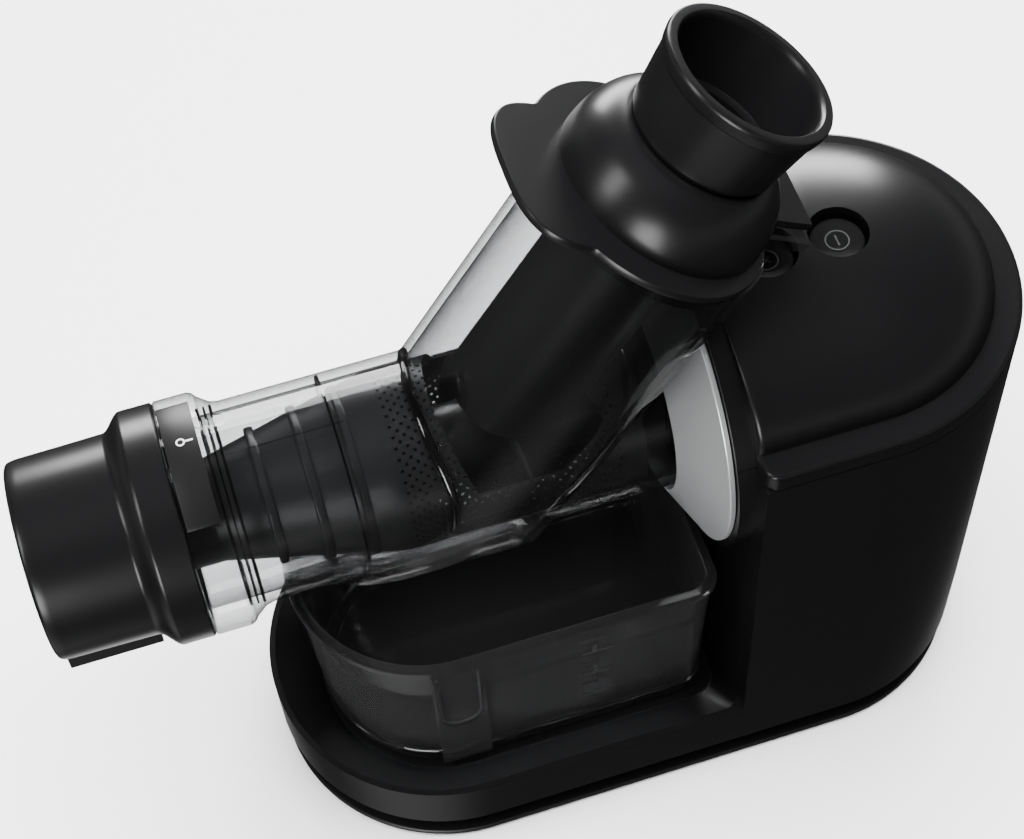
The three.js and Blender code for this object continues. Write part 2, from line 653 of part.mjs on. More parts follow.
// ---------------------------------------------------------------- pushers
// Their lower ends stop at a level plane and hollow out round the auger.
const pusherEnd = () => join(
  block([-150, 150], [-80, 80], [40, STEM_BOTTOM]),
  rodX(-80, 80, SCOOP_R, 0, DRUM_Z, 32),
);

const turnedPusher = (profile, segments) => turnedChute(profile, segments, PUSHER_OFFSET);

// The thumb lobe of the flange, a rounded square.
function lobe(s, count = 24) {
  const [centre, length, width, power] = [-33, 22, 26.5, 2 / 3];
  const soft = (value) => Math.sign(value) * Math.abs(value) ** power;
  return Array.from({ length: count }, (_, i) => {
    const angle = (i / count) * 2 * Math.PI;
    return new THREE.Vector3(centre + length * soft(Math.cos(angle)), width * soft(Math.sin(angle)), s);
  });
}

function pusher() {
  const stem = turnedPusher([[0, 0], [0, STEM_R], [FLANGE_TOP - 1, STEM_R], [FLANGE_TOP - 1, 0]], 32);
  const dome = [];
  const rows = 6;
  for (let i = 0; i <= rows; i += 1) {
    const angle = (i / rows) * (Math.PI / 2);
    const grow = Math.cos(angle);
    const s = FLANGE_TOP - 1 + (NECK - FLANGE_TOP + 1) * Math.sin(angle);
    dome.push(oval(22.2 + 10.8 * grow, 22.2 + 11.3 * grow, 60, s, 28, PUSHER_OFFSET));
  }
  const s0 = CHUTE_TOP + GAP;
  const s1 = FLANGE_TOP - 0.4;
  const flange = join(
    inChute(loft([s0, s1].map((s) => oval(38, 40.5, 60, s, 28, -7)))),
    inChute(loft([s0, s1].map((s) => lobe(s)))),
    plateChute(20, 51, -7, 17, s0, s1),
  );
  const bore = turnedPusher([[-5, 0], [-5, SMALL_BORE], [NECK + 5, SMALL_BORE], [NECK + 5, 0]], 20);
  return cut(join(stem, inChute(loft(dome)), flange), bore, pusherEnd());
}

function smallPusher() {
  const outside = turnedPusher([
    [0, 0], [0, SMALL_BORE - 0.5], [NECK + GAP, SMALL_BORE - 0.5], [NECK + GAP, 21.6], [NECK + 1.4, 22.6],
    [PUSHER_RIM - 4.5, 25.2], [PUSHER_RIM - 1.2, 26.3], [PUSHER_RIM, 25.6], [PUSHER_RIM, 0],
  ], 24);
  const cup = turnedPusher([
    [CUP_FLOOR, 0], [CUP_FLOOR, 14], [NECK + 2, 14], [NECK + 2, 17], [NECK + 5, 17], [NECK + 5, 19.6],
    [PUSHER_RIM - 1.5, 22.4], [PUSHER_RIM + 2, 23.4], [PUSHER_RIM + 2, 0],
  ], 24);
  return cut(outside, cup, pusherEnd());
}

// ---------------------------------------------------------------- juice container
function juiceContainer() {
  const at = (half, left, right) => ({ left, right, half, leftRadius: half - 0.01, rightRadius: JUG.corner });
  const foot = at(42, JUG.left + 6.5, JUG.right - 3.5);
  const step = at(43.2, JUG.left + 5, JUG.right - 2.6);
  const top = at(JUG.half - 1.4, JUG.left + 1.4, JUG.right - 1.4);
  const rim = at(JUG.half, JUG.left, JUG.right);
  const outside = join(
    levels([
      [inset(foot, 1.5), JUG.floor], [foot, JUG.floor + 1.5], [foot, JUG.floor + 7], [step, JUG.floor + 8],
      [top, JUG.rim - 4],
    ]),
    levels([[top, JUG.rim - 4.2], [rim, JUG.rim - 3.2], [rim, JUG.rim - 0.8], [inset(rim, 0.8), JUG.rim]]),
    block(JUG.tab, [-JUG.half - 0.6, -JUG.half + 4], [JUG.floor + 8, JUG.rim - 2]),
  );
  const inside = levels([
    [inset(foot, JUG.wall + 1.5), JUG.floor + JUG.wall], [inset(foot, JUG.wall), JUG.floor + JUG.wall + 1.5],
    [inset(foot, JUG.wall), JUG.floor + 8], [inset(step, JUG.wall), JUG.floor + 9.5],
    [inset(top, JUG.wall), JUG.rim + 1],
  ]);
  return cut(outside, inside);
}

// ---------------------------------------------------------------- assembly
const finish = {
  black: [0x24262a, 0.42, 0], darkGrey: [0x3a3d42, 0.45, 0], silver: [0xc9cdd2, 0.28, 1], clear: [0xdfe6e8, 0.08, 0],
  smoke: [0x8b9094, 0.1, 0], rubber: [0x151617, 0.85, 0], steel: [0xa8abad, 0.35, 1], gearWhite: [0xe8e6df, 0.55, 0],
  mesh: [0x5c6166, 0.5, 0], board: [0x1f5a34, 0.6, 0], copper: [0xb06a3a, 0.4, 1],
};
const group = new THREE.Group();

function add(name, shape, [color, roughness, metalness]) {
  const { vertProperties, triVerts } = shape.getMesh();
  const geometry = new THREE.BufferGeometry();
  geometry.setAttribute("position", new THREE.Float32BufferAttribute(vertProperties, 3));
  geometry.setIndex(Array.from(triVerts));
  geometry.computeVertexNormals();
  const mesh = new THREE.Mesh(geometry, new THREE.MeshStandardMaterial({ color, roughness, metalness }));
  mesh.name = name;
  group.add(mesh);
}

add("lower_housing", lowerHousing(), finish.black);
add("base_plate", basePlate(), finish.black);
FEET.forEach((place, i) => add(`rubber_foot_${i + 1}`, rubberFoot(place), finish.rubber));
SCREWS.forEach((place, i) => add(`base_screw_${i + 1}`, baseScrew(place), finish.steel));
add("top_cover", topCover(), finish.black);
add("collar_ring", collarRing(), finish.silver);
add("drum_socket", drumSocket(), finish.darkGrey);
add("gearbox_case", gearboxCase(), finish.darkGrey);
add("gearbox_cover", gearboxCover(), finish.darkGrey);
add("output_bearing", outputBearing(), finish.steel);
add("motor_case", motorCase(), finish.steel);
add("motor_end_cap", motorEndCap(), finish.darkGrey);
add("motor_bracket", motorBracket(), finish.darkGrey);
add("control_board", controlBoard(), finish.board);
add("power_switch", tactSwitch(POWER_X), finish.rubber);
add("reverse_switch", tactSwitch(REVERSE_X), finish.rubber);
add("interlock_switch", interlockSwitch(), finish.rubber);
add("cord_gland", cordGland(), finish.rubber);
add("drive_shaft", driveShaft(), finish.steel);
add("output_gear", outputGear(), finish.gearWhite);
add("auger", auger(), finish.darkGrey);
add("compound_gear", compoundGear(), finish.gearWhite);
add("motor_shaft", motorShaft(), finish.steel);
add("rotor_core", rotorCore(), finish.copper);
add("cooling_fan", coolingFan(), finish.gearWhite);
add("power_button", pushButton(POWER_X), finish.black);
add("reverse_button", pushButton(REVERSE_X), finish.black);
add("juicing_drum", juicingDrum(), finish.clear);
add("strainer", strainer(), finish.mesh);
add("auger_seal", shaftSeal(), finish.rubber);
add("end_cap", endCap(), finish.black);
add("cap_seal", capSeal(), finish.rubber);
add("pusher", pusher(), finish.black);
add("small_pusher", smallPusher(), finish.black);
add("juice_container", juiceContainer(), finish.smoke);

export default group;
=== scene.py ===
"""Horizontal slow juicer: the looks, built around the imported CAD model.

Lengths inside the builders are millimetres in the CAD frame; MM turns them into metres.
The drum lies along X, the motor tower stands at +X, and Y = 0 is the plane of symmetry.
"""
import json
import math

import bmesh
import bpy
import numpy as np
from mathutils import Matrix, Vector


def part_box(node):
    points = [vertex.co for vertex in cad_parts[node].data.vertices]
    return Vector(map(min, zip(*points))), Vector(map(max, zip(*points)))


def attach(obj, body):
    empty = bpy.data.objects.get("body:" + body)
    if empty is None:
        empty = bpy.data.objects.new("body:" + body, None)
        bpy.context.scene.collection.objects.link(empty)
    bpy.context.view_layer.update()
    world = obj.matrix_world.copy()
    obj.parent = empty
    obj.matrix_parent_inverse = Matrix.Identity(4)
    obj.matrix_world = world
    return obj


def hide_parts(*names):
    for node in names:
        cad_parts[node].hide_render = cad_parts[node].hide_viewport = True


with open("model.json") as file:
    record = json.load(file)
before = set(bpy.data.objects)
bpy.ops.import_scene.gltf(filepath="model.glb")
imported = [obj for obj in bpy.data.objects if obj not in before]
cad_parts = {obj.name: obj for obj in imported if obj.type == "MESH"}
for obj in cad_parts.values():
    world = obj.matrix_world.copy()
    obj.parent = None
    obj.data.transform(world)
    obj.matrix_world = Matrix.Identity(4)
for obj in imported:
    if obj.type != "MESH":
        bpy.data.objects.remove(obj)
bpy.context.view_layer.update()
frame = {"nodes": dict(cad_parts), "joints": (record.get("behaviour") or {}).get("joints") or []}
MM = 0.001
FLOOR_REACH = 4000


# ------------------------------------------------------------------ places taken from the frame
def corners(node):
    """Lowest and highest corner of a CAD node, in millimetres."""
    low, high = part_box(node)
    return low / MM, high / MM


def centre(node):
    """Middle of a CAD node seen from above, in millimetres."""
    low, high = corners(node)
    return (low.x + high.x) / 2, (low.y + high.y) / 2


housing_low, housing_high = corners("lower_housing")
plate_low, plate_high = corners("base_plate")
cover_low, cover_high = corners("top_cover")
ring_low, ring_high = corners("collar_ring")
cap_low, cap_high = corners("end_cap")
jug_low, jug_high = corners("juice_container")

HALF = housing_high.y
X_MAX = housing_high.x
BASE_LEFT = housing_low.x
TOWER_TOP = housing_high.z
TOWER_FRONT = cover_low.x + 6
BASE_RIM = 41
HOUSING_BOTTOM = 16
TAPER_START = 48
SHELL = 3
SOCKET_HOLE_R = 37.4
DOME_TOP = cover_high.z - 0.3
LIP_TOP = TOWER_TOP + 7.7
DRUM_Z = (ring_low.z + ring_high.z) / 2
RING_OUTER = ring_high.y
RING_TIP = ring_low.x
NOSE_R = cover_high.z - DRUM_Z
NOSE_FRONT = cover_low.x
DRUM_R = 32.5
DRUM_BORE_R = 29.5
DRUM_REAR = 60
NOZZLE_X = -33
CAP_FRONT = cap_low.x
CAP_SEAM = cap_high.x
SKIRT_R = cap_high.y

JOINTS = {joint["name"]: joint for joint in frame["joints"]}
CHUTE_UP = Vector(JOINTS["pusher_slide"]["axis"]).normalized()
CHUTE_OUT = Vector((0, 1, 0)).cross(CHUTE_UP).normalized()
CHUTE_FOOT = Vector((-22.6, 0, DRUM_Z - 8.6))
CHUTE_A, CHUTE_B, CHUTE_FLAT = 34, 37, 26
CHUTE_WALL = 2.6
CHUTE_TOP = 124.1
FLANGE_TOP = 127.4
NECK = 147
PUSHER_RIM = 173.1
POWER_X = centre("power_button")[0]
REVERSE_X = centre("reverse_button")[0]
BUTTON_R = 9.5
CORNERS = range(1, 5)  # the feet and the base screws are numbered by corner
PUSHER_OFFSET = -2
STEM_R = 19.7
SCOOP_R = 30.3
STEM_BOTTOM = 188
STRAINER_R = 29.1
STRAINER_TIP_R = 16.3
CONE_FRONT, CONE_REAR = -103.6, -47.5
X_AXIS, Z_AXIS = (1, 0, 0), (0, 0, 1)

# Camera: angles in degrees, lengths in millimetres.
CAMERA_AZIMUTH, CAMERA_ELEVATION, CAMERA_ROLL = -13.806, 57.654, -4.226
CAMERA_TARGET = (-5.4, 0, 171.2)
CAMERA_DISTANCE = 673.0
CAMERA_LENS = 74.86

# World grey by height, from 0 straight down to 1 straight up.
SKY_DOWN, SKY_UP = 0.03, 0.012
SKY_STOPS = ((0.36, 0.04), (0.5, 0.3), (0.64, 0.03))
# Soft glows that reflections find below the floor: direction, cosine at the edge, grey.
GLOWS = (((-0.45, -0.45, -0.77), 0.86, 0.5), ((0.1, 0.25, -0.96), 0.92, 1.7))
# Soft boxes in metres and watts: name, place, aim, size, power, seen in reflections.
MIDDLE = (0.0, 0.0, 0.15)
LIGHTS = (
    ("overhead", (0.0, 0.05, 1.2), (0, 0.05, 0), (1.1, 1.1), 95, False),
    ("back", (0.35, 1.4, 0.5), MIDDLE, (1.3, 0.5), 42, True),
    ("front", (-0.75, -1.15, 0.35), MIDDLE, (0.55, 0.6), 11, True),
    ("left", (-1.1, -0.1, 1.1), MIDDLE, (0.4, 0.8), 7, True),
)


# ------------------------------------------------------------------ camera and light
def make_camera():
    azimuth = math.radians(CAMERA_AZIMUTH)
    elevation = math.radians(CAMERA_ELEVATION)
    roll = math.radians(CAMERA_ROLL)
    target = Vector(CAMERA_TARGET) * MM
    distance = CAMERA_DISTANCE * MM
    back = Vector((
        math.sin(azimuth) * math.cos(elevation),
        -math.cos(azimuth) * math.cos(elevation),
        math.sin(elevation),
    ))
    level = Vector((0, 0, 1)).cross(back).normalized()
    rise = back.cross(level)
    right = math.cos(roll) * level + math.sin(roll) * rise
    up = math.cos(roll) * rise - math.sin(roll) * level
    data = bpy.data.cameras.new("camera")
    data.lens = CAMERA_LENS
    data.sensor_width = 36
    data.clip_start = 0.01
    camera = bpy.data.objects.new("camera", data)
    turn = Matrix((right, up, back)).transposed()
    camera.matrix_world = Matrix.Translation(target + distance * back) @ turn.to_4x4()
    bpy.context.scene.collection.objects.link(camera)
    bpy.context.scene.camera = camera


def area_light(name, place, aim, size, power, glossy):
    data = bpy.data.lights.new(name, "AREA")
    data.shape = "RECTANGLE"
    data.size, data.size_y = size
    data.energy = power
    light = bpy.data.objects.new(name, data)
    light.location = place
    light.rotation_euler = (Vector(aim) - Vector(place)).to_track_quat("-Z", "Y").to_euler()
    light.visible_glossy = glossy
    light.visible_transmission = glossy
    bpy.context.scene.collection.objects.link(light)


def make_studio():
    """A room that is pale at the horizon and dim elsewhere, with glows below and soft boxes round it."""
    world = bpy.data.worlds.new("studio")
    world.use_nodes = True
    tree = world.node_tree
    place = tree.nodes.new("ShaderNodeTexCoord")
    split = tree.nodes.new("ShaderNodeSeparateXYZ")
    height = tree.nodes.new("ShaderNodeMapRange")
    height.inputs["From Min"].default_value = -1
    ramp = tree.nodes.new("ShaderNodeValToRGB")
    tree.links.new(place.outputs["Generated"], split.inputs["Vector"])
    tree.links.new(split.outputs["Z"], height.inputs["Value"])
    tree.links.new(height.outputs["Result"], ramp.inputs["Fac"])
    total = ramp.outputs["Color"]
    for aim, edge, grey in GLOWS:
        toward = tree.nodes.new("ShaderNodeVectorMath")
        toward.operation = "DOT_PRODUCT"
        toward.inputs[1].default_value = Vector(aim).normalized()
        glow = tree.nodes.new("ShaderNodeMapRange")
        glow.interpolation_type = "SMOOTHSTEP"
        glow.inputs["From Min"].default_value = edge
        glow.inputs["To Max"].default_value = grey
        add = tree.nodes.new("ShaderNodeMath")
        tree.links.new(place.outputs["Generated"], toward.inputs[0])
        tree.links.new(toward.outputs["Value"], glow.inputs["Value"])
        tree.links.new(total, add.inputs[0])
        tree.links.new(glow.outputs["Result"], add.inputs[1])
        total = add.outputs["Value"]
    tree.links.new(total, tree.nodes["Background"].inputs["Color"])
    stops = ramp.color_ramp.elements
    stops[0].color = (SKY_DOWN, SKY_DOWN, SKY_DOWN, 1)
    stops[1].color = (SKY_UP, SKY_UP, SKY_UP, 1)
    for share, grey in SKY_STOPS:
        stops.new(share).color = (grey, grey, grey, 1)
    bpy.context.scene.world = world
    for light in LIGHTS:
        area_light(*light)


# ------------------------------------------------------------------ materials
SKIN_IOR = 3.0
SKIN_POWER = 3.0
GRAIN_DETAIL = 3
DRIFT_SCALE, DRIFT_DETAIL = 28, 4


def material(name, color, roughness, metallic=0.0, **sockets):
    """A principled material; sockets are set straight on the shader."""
    made = bpy.data.materials.new(name)
    made.use_nodes = True
    shader = made.node_tree.nodes["Principled BSDF"]
    shader.inputs["Base Color"].default_value = (*color, 1)
    shader.inputs["Roughness"].default_value = roughness
    shader.inputs["Metallic"].default_value = metallic
    for socket, value in sockets.items():
        shader.inputs[socket.replace("_", " ")].default_value = value
    return made


def see_through(name, tint, body_color, roughness, solid):
    """Clear plastic: a tinted window under a glossy skin that takes over at grazing angles."""
    made = material(name, body_color, roughness, IOR=SKIN_IOR)
    tree = made.node_tree
    window = tree.nodes.new("ShaderNodeBsdfTransparent")
    window.inputs["Color"].default_value = (*tint, 1)
    slant = tree.nodes.new("ShaderNodeLayerWeight")
    slant.inputs["Blend"].default_value = 0.5
    steep = tree.nodes.new("ShaderNodeMath")
    steep.operation = "POWER"
    steep.inputs[1].default_value = SKIN_POWER
    share = tree.nodes.new("ShaderNodeMapRange")
    share.inputs["To Min"].default_value = solid
    mix = tree.nodes.new("ShaderNodeMixShader")
    tree.links.new(slant.outputs["Facing"], steep.inputs[0])
    tree.links.new(steep.outputs["Value"], share.inputs["Value"])
    tree.links.new(share.outputs["Result"], mix.inputs["Fac"])
    tree.links.new(window.outputs["BSDF"], mix.inputs[1])
    tree.links.new(tree.nodes["Principled BSDF"].outputs["BSDF"], mix.inputs[2])
    tree.links.new(mix.outputs["Shader"], tree.nodes["Material Output"].inputs["Surface"])
    return made


def add_grain(made, scale, depth, strength, spread=0.0, stretch=(1, 1, 1)):
    """Fine moulded or rolled grain as bump, and a slow drift of roughness where spread is given."""
    tree = made.node_tree
    shader = tree.nodes["Principled BSDF"]
    place = tree.nodes.new("ShaderNodeTexCoord")
    mapping = tree.nodes.new("ShaderNodeMapping")
    mapping.inputs["Scale"].default_value = stretch
    tree.links.new(place.outputs["Object"], mapping.inputs["Vector"])
    noise = tree.nodes.new("ShaderNodeTexNoise")
    noise.inputs["Scale"].default_value = scale
    noise.inputs["Detail"].default_value = GRAIN_DETAIL
    tree.links.new(mapping.outputs["Vector"], noise.inputs["Vector"])
    bump = tree.nodes.new("ShaderNodeBump")
    bump.inputs["Strength"].default_value = strength
    bump.inputs["Distance"].default_value = depth * MM
    tree.links.new(noise.outputs["Fac"], bump.inputs["Height"])
    tree.links.new(bump.outputs["Normal"], shader.inputs["Normal"])
    if spread:
        drift = tree.nodes.new("ShaderNodeTexNoise")
        drift.inputs["Scale"].default_value = DRIFT_SCALE
        drift.inputs["Detail"].default_value = DRIFT_DETAIL
        tree.links.new(place.outputs["Object"], drift.inputs["Vector"])
        rough = shader.inputs["Roughness"].default_value
        level = tree.nodes.new("ShaderNodeMapRange")
        level.inputs["To Min"].default_value = rough - spread
        level.inputs["To Max"].default_value = rough + spread
        tree.links.new(drift.outputs["Fac"], level.inputs["Value"])
        tree.links.new(level.outputs["Result"], shader.inputs["Roughness"])
    return made


BLACK = add_grain(material("satin_black", (0.0026, 0.0026, 0.0028), 0.3), 1500, 0.02, 0.08, 0.04)
DARK = add_grain(material("textured_black", (0.0032, 0.0032, 0.0034), 0.42), 1900, 0.05, 0.3, 0.05)
BRUSHED = (1, 5, 5)
SILVER = add_grain(material("satin_silver", (0.84, 0.85, 0.86), 0.32, 0.88), 900, 0.02, 0.1, 0.04, BRUSHED)
CLEAR = see_through("clear_plastic", (0.86, 0.865, 0.87), (0.004, 0.004, 0.004), 0.05, 0.14)
# Darker clear tint for the edge beads and drum ribs: painted shade standing in for the dark refraction
# lines along thick clear edges.
PAINTED_EDGE_SHADE = see_through("clear_edge_painted_shade", (0.3, 0.3, 0.305), (0.003, 0.003, 0.003), 0.06, 0.3)
SMOKE = see_through("smoke_plastic", (0.6, 0.605, 0.61), (0.03, 0.03, 0.031), 0.06, 0.17)
# Dark grey for the moulded scale marks; the bead round the grip scoop uses it too, and there it is a
# painted dark edge line.
SCALE_AND_EDGE_SHADE = add_grain(material("scale_smoke", (0.018, 0.018, 0.0185), 0.4), 1500, 0.01, 0.1)
RUBBER = add_grain(material("rubber", (0.02, 0.02, 0.02), 0.8), 900, 0.05, 0.4)
SILICONE = add_grain(material("silicone", (0.45, 0.45, 0.43), 0.45), 900, 0.03, 0.2)
STEEL = add_grain(material("steel", (0.6, 0.6, 0.61), 0.32, 1.0), 700, 0.02, 0.25, 0.06, (1, 6, 6))
ROTOR = add_grain(material("rotor_steel", (0.36, 0.3, 0.26), 0.42, 1.0), 900, 0.05, 0.5, 0.08, (9, 1, 1))
BRONZE = add_grain(material("bearing_bronze", (0.6, 0.42, 0.22), 0.45, 1.0), 1200, 0.04, 0.4, 0.08)
NYLON = add_grain(material("nylon", (0.76, 0.74, 0.68), 0.5), 800, 0.03, 0.2, 0.06)
AUGER_GREY = add_grain(material("auger_grey", (0.009, 0.009, 0.0095), 0.34), 1100, 0.03, 0.2, 0.05)
MESH_GREY = add_grain(material("strainer_grey", (0.011, 0.011, 0.0115), 0.34), 1100, 0.03, 0.25, 0.05)
BOARD = add_grain(material("circuit_board", (0.02, 0.12, 0.05), 0.42), 600, 0.04, 0.4, 0.08)
SWITCH = add_grain(material("switch_black", (0.015, 0.015, 0.016), 0.55), 1300, 0.03, 0.3)
ICON = add_grain(material("icon_grey", (0.022, 0.0225, 0.023), 0.5), 1500, 0.01, 0.1)
MARK = add_grain(material("mark_white", (0.42, 0.425, 0.43), 0.5), 1500, 0.01, 0.1)


# ------------------------------------------------------------------ mesh tools
MERGE_DISTANCE = 1e-7
NORMAL_WEIGHT = 80


def linked(name, data):
    made = bpy.data.objects.new(name, data)
    bpy.context.scene.collection.objects.link(made)
    return made


def copied(source):
    return linked(source.name, source.data.copy())


def shift(x, y, z):
    return Matrix.Translation(Vector((x, y, z)) * MM)


def spin(degrees, axis):
    return Matrix.Rotation(math.radians(degrees), 4, axis)


def new_object(name, points, faces, look):
    """points are millimetres in the CAD frame."""
    data = bpy.data.meshes.new(name)
    data.from_pydata([tuple(Vector(p) * MM) for p in points], [], faces)
    tool = bmesh.new()
    tool.from_mesh(data)
    bmesh.ops.remove_doubles(tool, verts=tool.verts, dist=MERGE_DISTANCE)
    bmesh.ops.dissolve_degenerate(tool, edges=tool.edges, dist=MERGE_DISTANCE)
    bmesh.ops.recalc_face_normals(tool, faces=tool.faces)
    tool.to_mesh(data)
    tool.free()
    data.materials.append(look)
    return linked(name, data)


def loft(name, rings, look, closed=False):
    """A skin through rings of equally many points; the ends are capped unless it closes on itself."""
    count = len(rings[0])
    points = [p for ring in rings for p in ring]
    faces = []
    last = len(rings) if closed else len(rings) - 1
    for level in range(last):
        a, b = level * count, ((level + 1) % len(rings)) * count
        for i in range(count):
            j = (i + 1) % count
            faces.append((a + i, a + j, b + j, b + i))
    if not closed:
        faces.append(tuple(range(count - 1, -1, -1)))
        faces.append(tuple(range((len(rings) - 1) * count, len(rings) * count)))
    return new_object(name, points, faces, look)


def turned(name, profile, look, middle, along, segments=96):
    """A body of revolution: profile is a list of (distance along, radius) from middle.

    The profile closes on itself, or starts and ends on the axis.
    """
    assert profile[0] == profile[-1] or profile[0][1] == profile[-1][1] == 0, name
    along = Vector(along).normalized()
    side = along.orthogonal().normalized()
    other = along.cross(side)
    points, faces = [], []
    for i in range(segments):
        angle = 2 * math.pi * i / segments
        spoke = math.cos(angle) * side + math.sin(angle) * other
        points.extend(Vector(middle) + along * s + spoke * r for s, r in profile)
    rows = len(profile)
    for i in range(segments):
        a, b = i * rows, ((i + 1) % segments) * rows
        for k in range(rows - 1):
            faces.append((a + k, b + k, b + k + 1, a + k + 1))
    return new_object(name, points, faces, look)


def box(name, low, high, look):
    x0, y0, z0 = low
    x1, y1, z1 = high
    points = [(x, y, z) for z in (z0, z1) for y in (y0, y1) for x in (x0, x1)]
    faces = [(0, 2, 3, 1), (4, 5, 7, 6), (0, 1, 5, 4), (2, 6, 7, 3), (0, 4, 6, 2), (1, 3, 7, 5)]
    return new_object(name, points, faces, look)


def apply_modifiers(made):
    bpy.context.view_layer.update()
    depsgraph = bpy.context.evaluated_depsgraph_get()
    data = bpy.data.meshes.new_from_object(made.evaluated_get(depsgraph))
    made.modifiers.clear()
    made.data = data
    return made


def boolean(made, operation, *others):
    """Joins or cuts with other objects, which are used up."""
    look = made.data.materials[0]
    for other in others:
        change = made.modifiers.new("boolean", "BOOLEAN")
        change.operation = operation
        change.solver = "MANIFOLD"
        change.object = other
        apply_modifiers(made)
        bpy.data.objects.remove(other)
    made.data.materials.clear()
    made.data.materials.append(look)
    made.data.polygons.foreach_set("material_index", [0] * len(made.data.polygons))
    return made


def join(made, *others):
    return boolean(made, "UNION", *others)


def cut(made, *others):
    return boolean(made, "DIFFERENCE", *others)


def keep(made, *others):
    return boolean(made, "INTERSECT", *others)


def round_edges(made, width, segments=3, angle=32):
    change = made.modifiers.new("bevel", "BEVEL")
    change.width = width * MM
    change.segments = segments
    change.limit_method = "ANGLE"
    change.angle_limit = math.radians(angle)
    change.miter_outer = "MITER_ARC"
    return apply_modifiers(made)


SOFT = 60


def smooth(made, angle=35):
    """Smooth shading that keeps edges sharper than the angle."""
    data = made.data
    data.polygons.foreach_set("use_smooth", [True] * len(data.polygons))
    tool = bmesh.new()
    tool.from_mesh(data)
    limit = math.radians(angle)
    for edge in tool.edges:
        edge.smooth = len(edge.link_faces) != 2 or edge.calc_face_angle(0) < limit
    tool.to_mesh(data)
    tool.free()
    return made


def even_normals(made):
    """Weighted normals, so that large flat faces shade flat beside rounded edges."""
    change = made.modifiers.new("normals", "WEIGHTED_NORMAL")
    change.keep_sharp = True
    change.weight = NORMAL_WEIGHT
    return made


def finish_piece(made, body, slot, *nodes):
    """Rides the piece on its body, and has it stand for the CAD nodes it replaces."""
    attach(made, body)
    if nodes:
        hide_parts(*nodes)
    return made


# ------------------------------------------------------------------ outlines
# A shape is (left end, right end, half width, left corner radius, right corner radius).
FINE, COARSE = 28, 12


def outline(shape, z, steps):
    """A level ring round a shape, with so many steps at each corner."""
    left, right, half, left_r, right_r = shape
    middles = (
        (right - right_r, half - right_r, right_r),
        (left + left_r, half - left_r, left_r),
        (left + left_r, left_r - half, left_r),
        (right - right_r, right_r - half, right_r),
    )
    ring = []
    for quarter, (x, y, radius) in enumerate(middles):
        for i in range(steps):
            angle = (quarter + i / (steps - 1)) * math.pi / 2
            ring.append((x + radius * math.cos(angle), y + radius * math.sin(angle), z))
    return ring


def inset(shape, by):
    left, right, half, left_r, right_r = shape
    return (left + by, right - by, half - by, max(left_r - by, 0.3), max(right_r - by, 0.3))


def levels(name, look, shape, profile, steps):
    """A prism whose sides follow profile, a list of (inset, z)."""
    return loft(name, [outline(inset(shape, by), z, steps) for by, z in profile], look)


EPS = 0.02
BASE = (BASE_LEFT, X_MAX, HALF, HALF - EPS, HALF - EPS)
TOWER_TAPER = 1.5
HEAD = (TOWER_FRONT, X_MAX - TOWER_TAPER, HALF - TOWER_TAPER, 4, HALF - TOWER_TAPER - EPS)
RECESS_TOP = (BASE_LEFT + 2.2, TOWER_FRONT + 0.5, HALF - 2.2, HALF - 2.3, 7)
RECESS_FLOOR = (BASE_LEFT + 17, TOWER_FRONT - 1.5, 45.5, 45.4, 9)
FLOOR_Z = 23


def rod(name, length, radius, start, along, segments):
    profile = [(0, 0), (0, radius), (length, radius), (length, 0)]
    return turned(name, profile, BLACK, start, along, segments)


def disc(name, x0, x1, radius, segments=128, y=0, z=DRUM_Z):
    return rod(name, x1 - x0, radius, (x0, y, z), X_AXIS, segments)


def post(name, z0, z1, radius, x, y, segments=48):
    return rod(name, z1 - z0, radius, (x, y, z0), Z_AXIS, segments)


def dome_rings(front, half, start, rise, last_degrees, count, steps):
    """Rings of a dome that closes over the tower's round end, from its foot upwards."""
    middle = X_MAX - HALF
    rings = []
    for i in range(count):
        angle = math.radians(last_degrees) * i / (count - 1)
        wide = half * math.cos(angle)
        shape = (front, middle + wide, wide, min(2, wide / 2), wide - EPS / 4)
        rings.append(outline(shape, start + rise * math.sin(angle), steps))
    return rings


# ------------------------------------------------------------------ base and tower
def make_housing():
    low = HOUSING_BOTTOM
    wall = [(1.0, low), (0.3, low + 0.25), (0, low + 0.9), (0, TAPER_START)]
    wall += [(TOWER_TAPER * t, TAPER_START + (TOWER_TOP - TAPER_START) * t) for t in (0.35, 0.7, 1.0)]
    body = levels("housing_shell", BLACK, BASE, wall, FINE)
    front = box("front_room", (-160, -90, BASE_RIM), (TOWER_FRONT, 90, 300), BLACK)
    cut(body, front)
    recess = loft("recess", [
        outline(inset(RECESS_FLOOR, 1.6), FLOOR_Z, FINE),
        outline(inset(RECESS_FLOOR, 0.5), FLOOR_Z + 0.5, FINE),
        outline(RECESS_FLOOR, FLOOR_Z + 1.6, FINE),
        outline(RECESS_TOP, BASE_RIM - 0.4, FINE),
        outline(inset(RECESS_TOP, -0.8), BASE_RIM + 4, FINE),
    ], BLACK)
    cut(body, recess)
    nose = disc("nose", NOSE_FRONT, TOWER_FRONT + 2, NOSE_R)
    keep(nose, box("below", (0, -90, 60), (190, 90, TOWER_TOP), BLACK))
    join(body, nose)
    round_edges(body, 0.9, 4)
    room = loft("tower_room", [
        outline((TOWER_FRONT + SHELL, X_MAX - by, HALF - by, SHELL, HALF - (by + 0.1)), z, COARSE)
        for by, z in ((SHELL, low - 2), (SHELL, TAPER_START), (SHELL + TOWER_TAPER, TOWER_TOP + 2))
    ], BLACK)
    base_room = levels("base_room", BLACK, BASE, [(SHELL, low - 2), (SHELL, FLOOR_Z - 2.6)], COARSE)
    hole = disc("socket_hole", NOSE_FRONT - 5, TOWER_FRONT + 8, SOCKET_HOLE_R, 96)
    gland = disc("gland_hole", X_MAX - 16, X_MAX + 5, 6.3, 32, 22, 34)
    cut(body, room, base_room, hole, gland)
    smooth(body)
    finish_piece(even_normals(body), "housing", "black_plastic", "lower_housing")


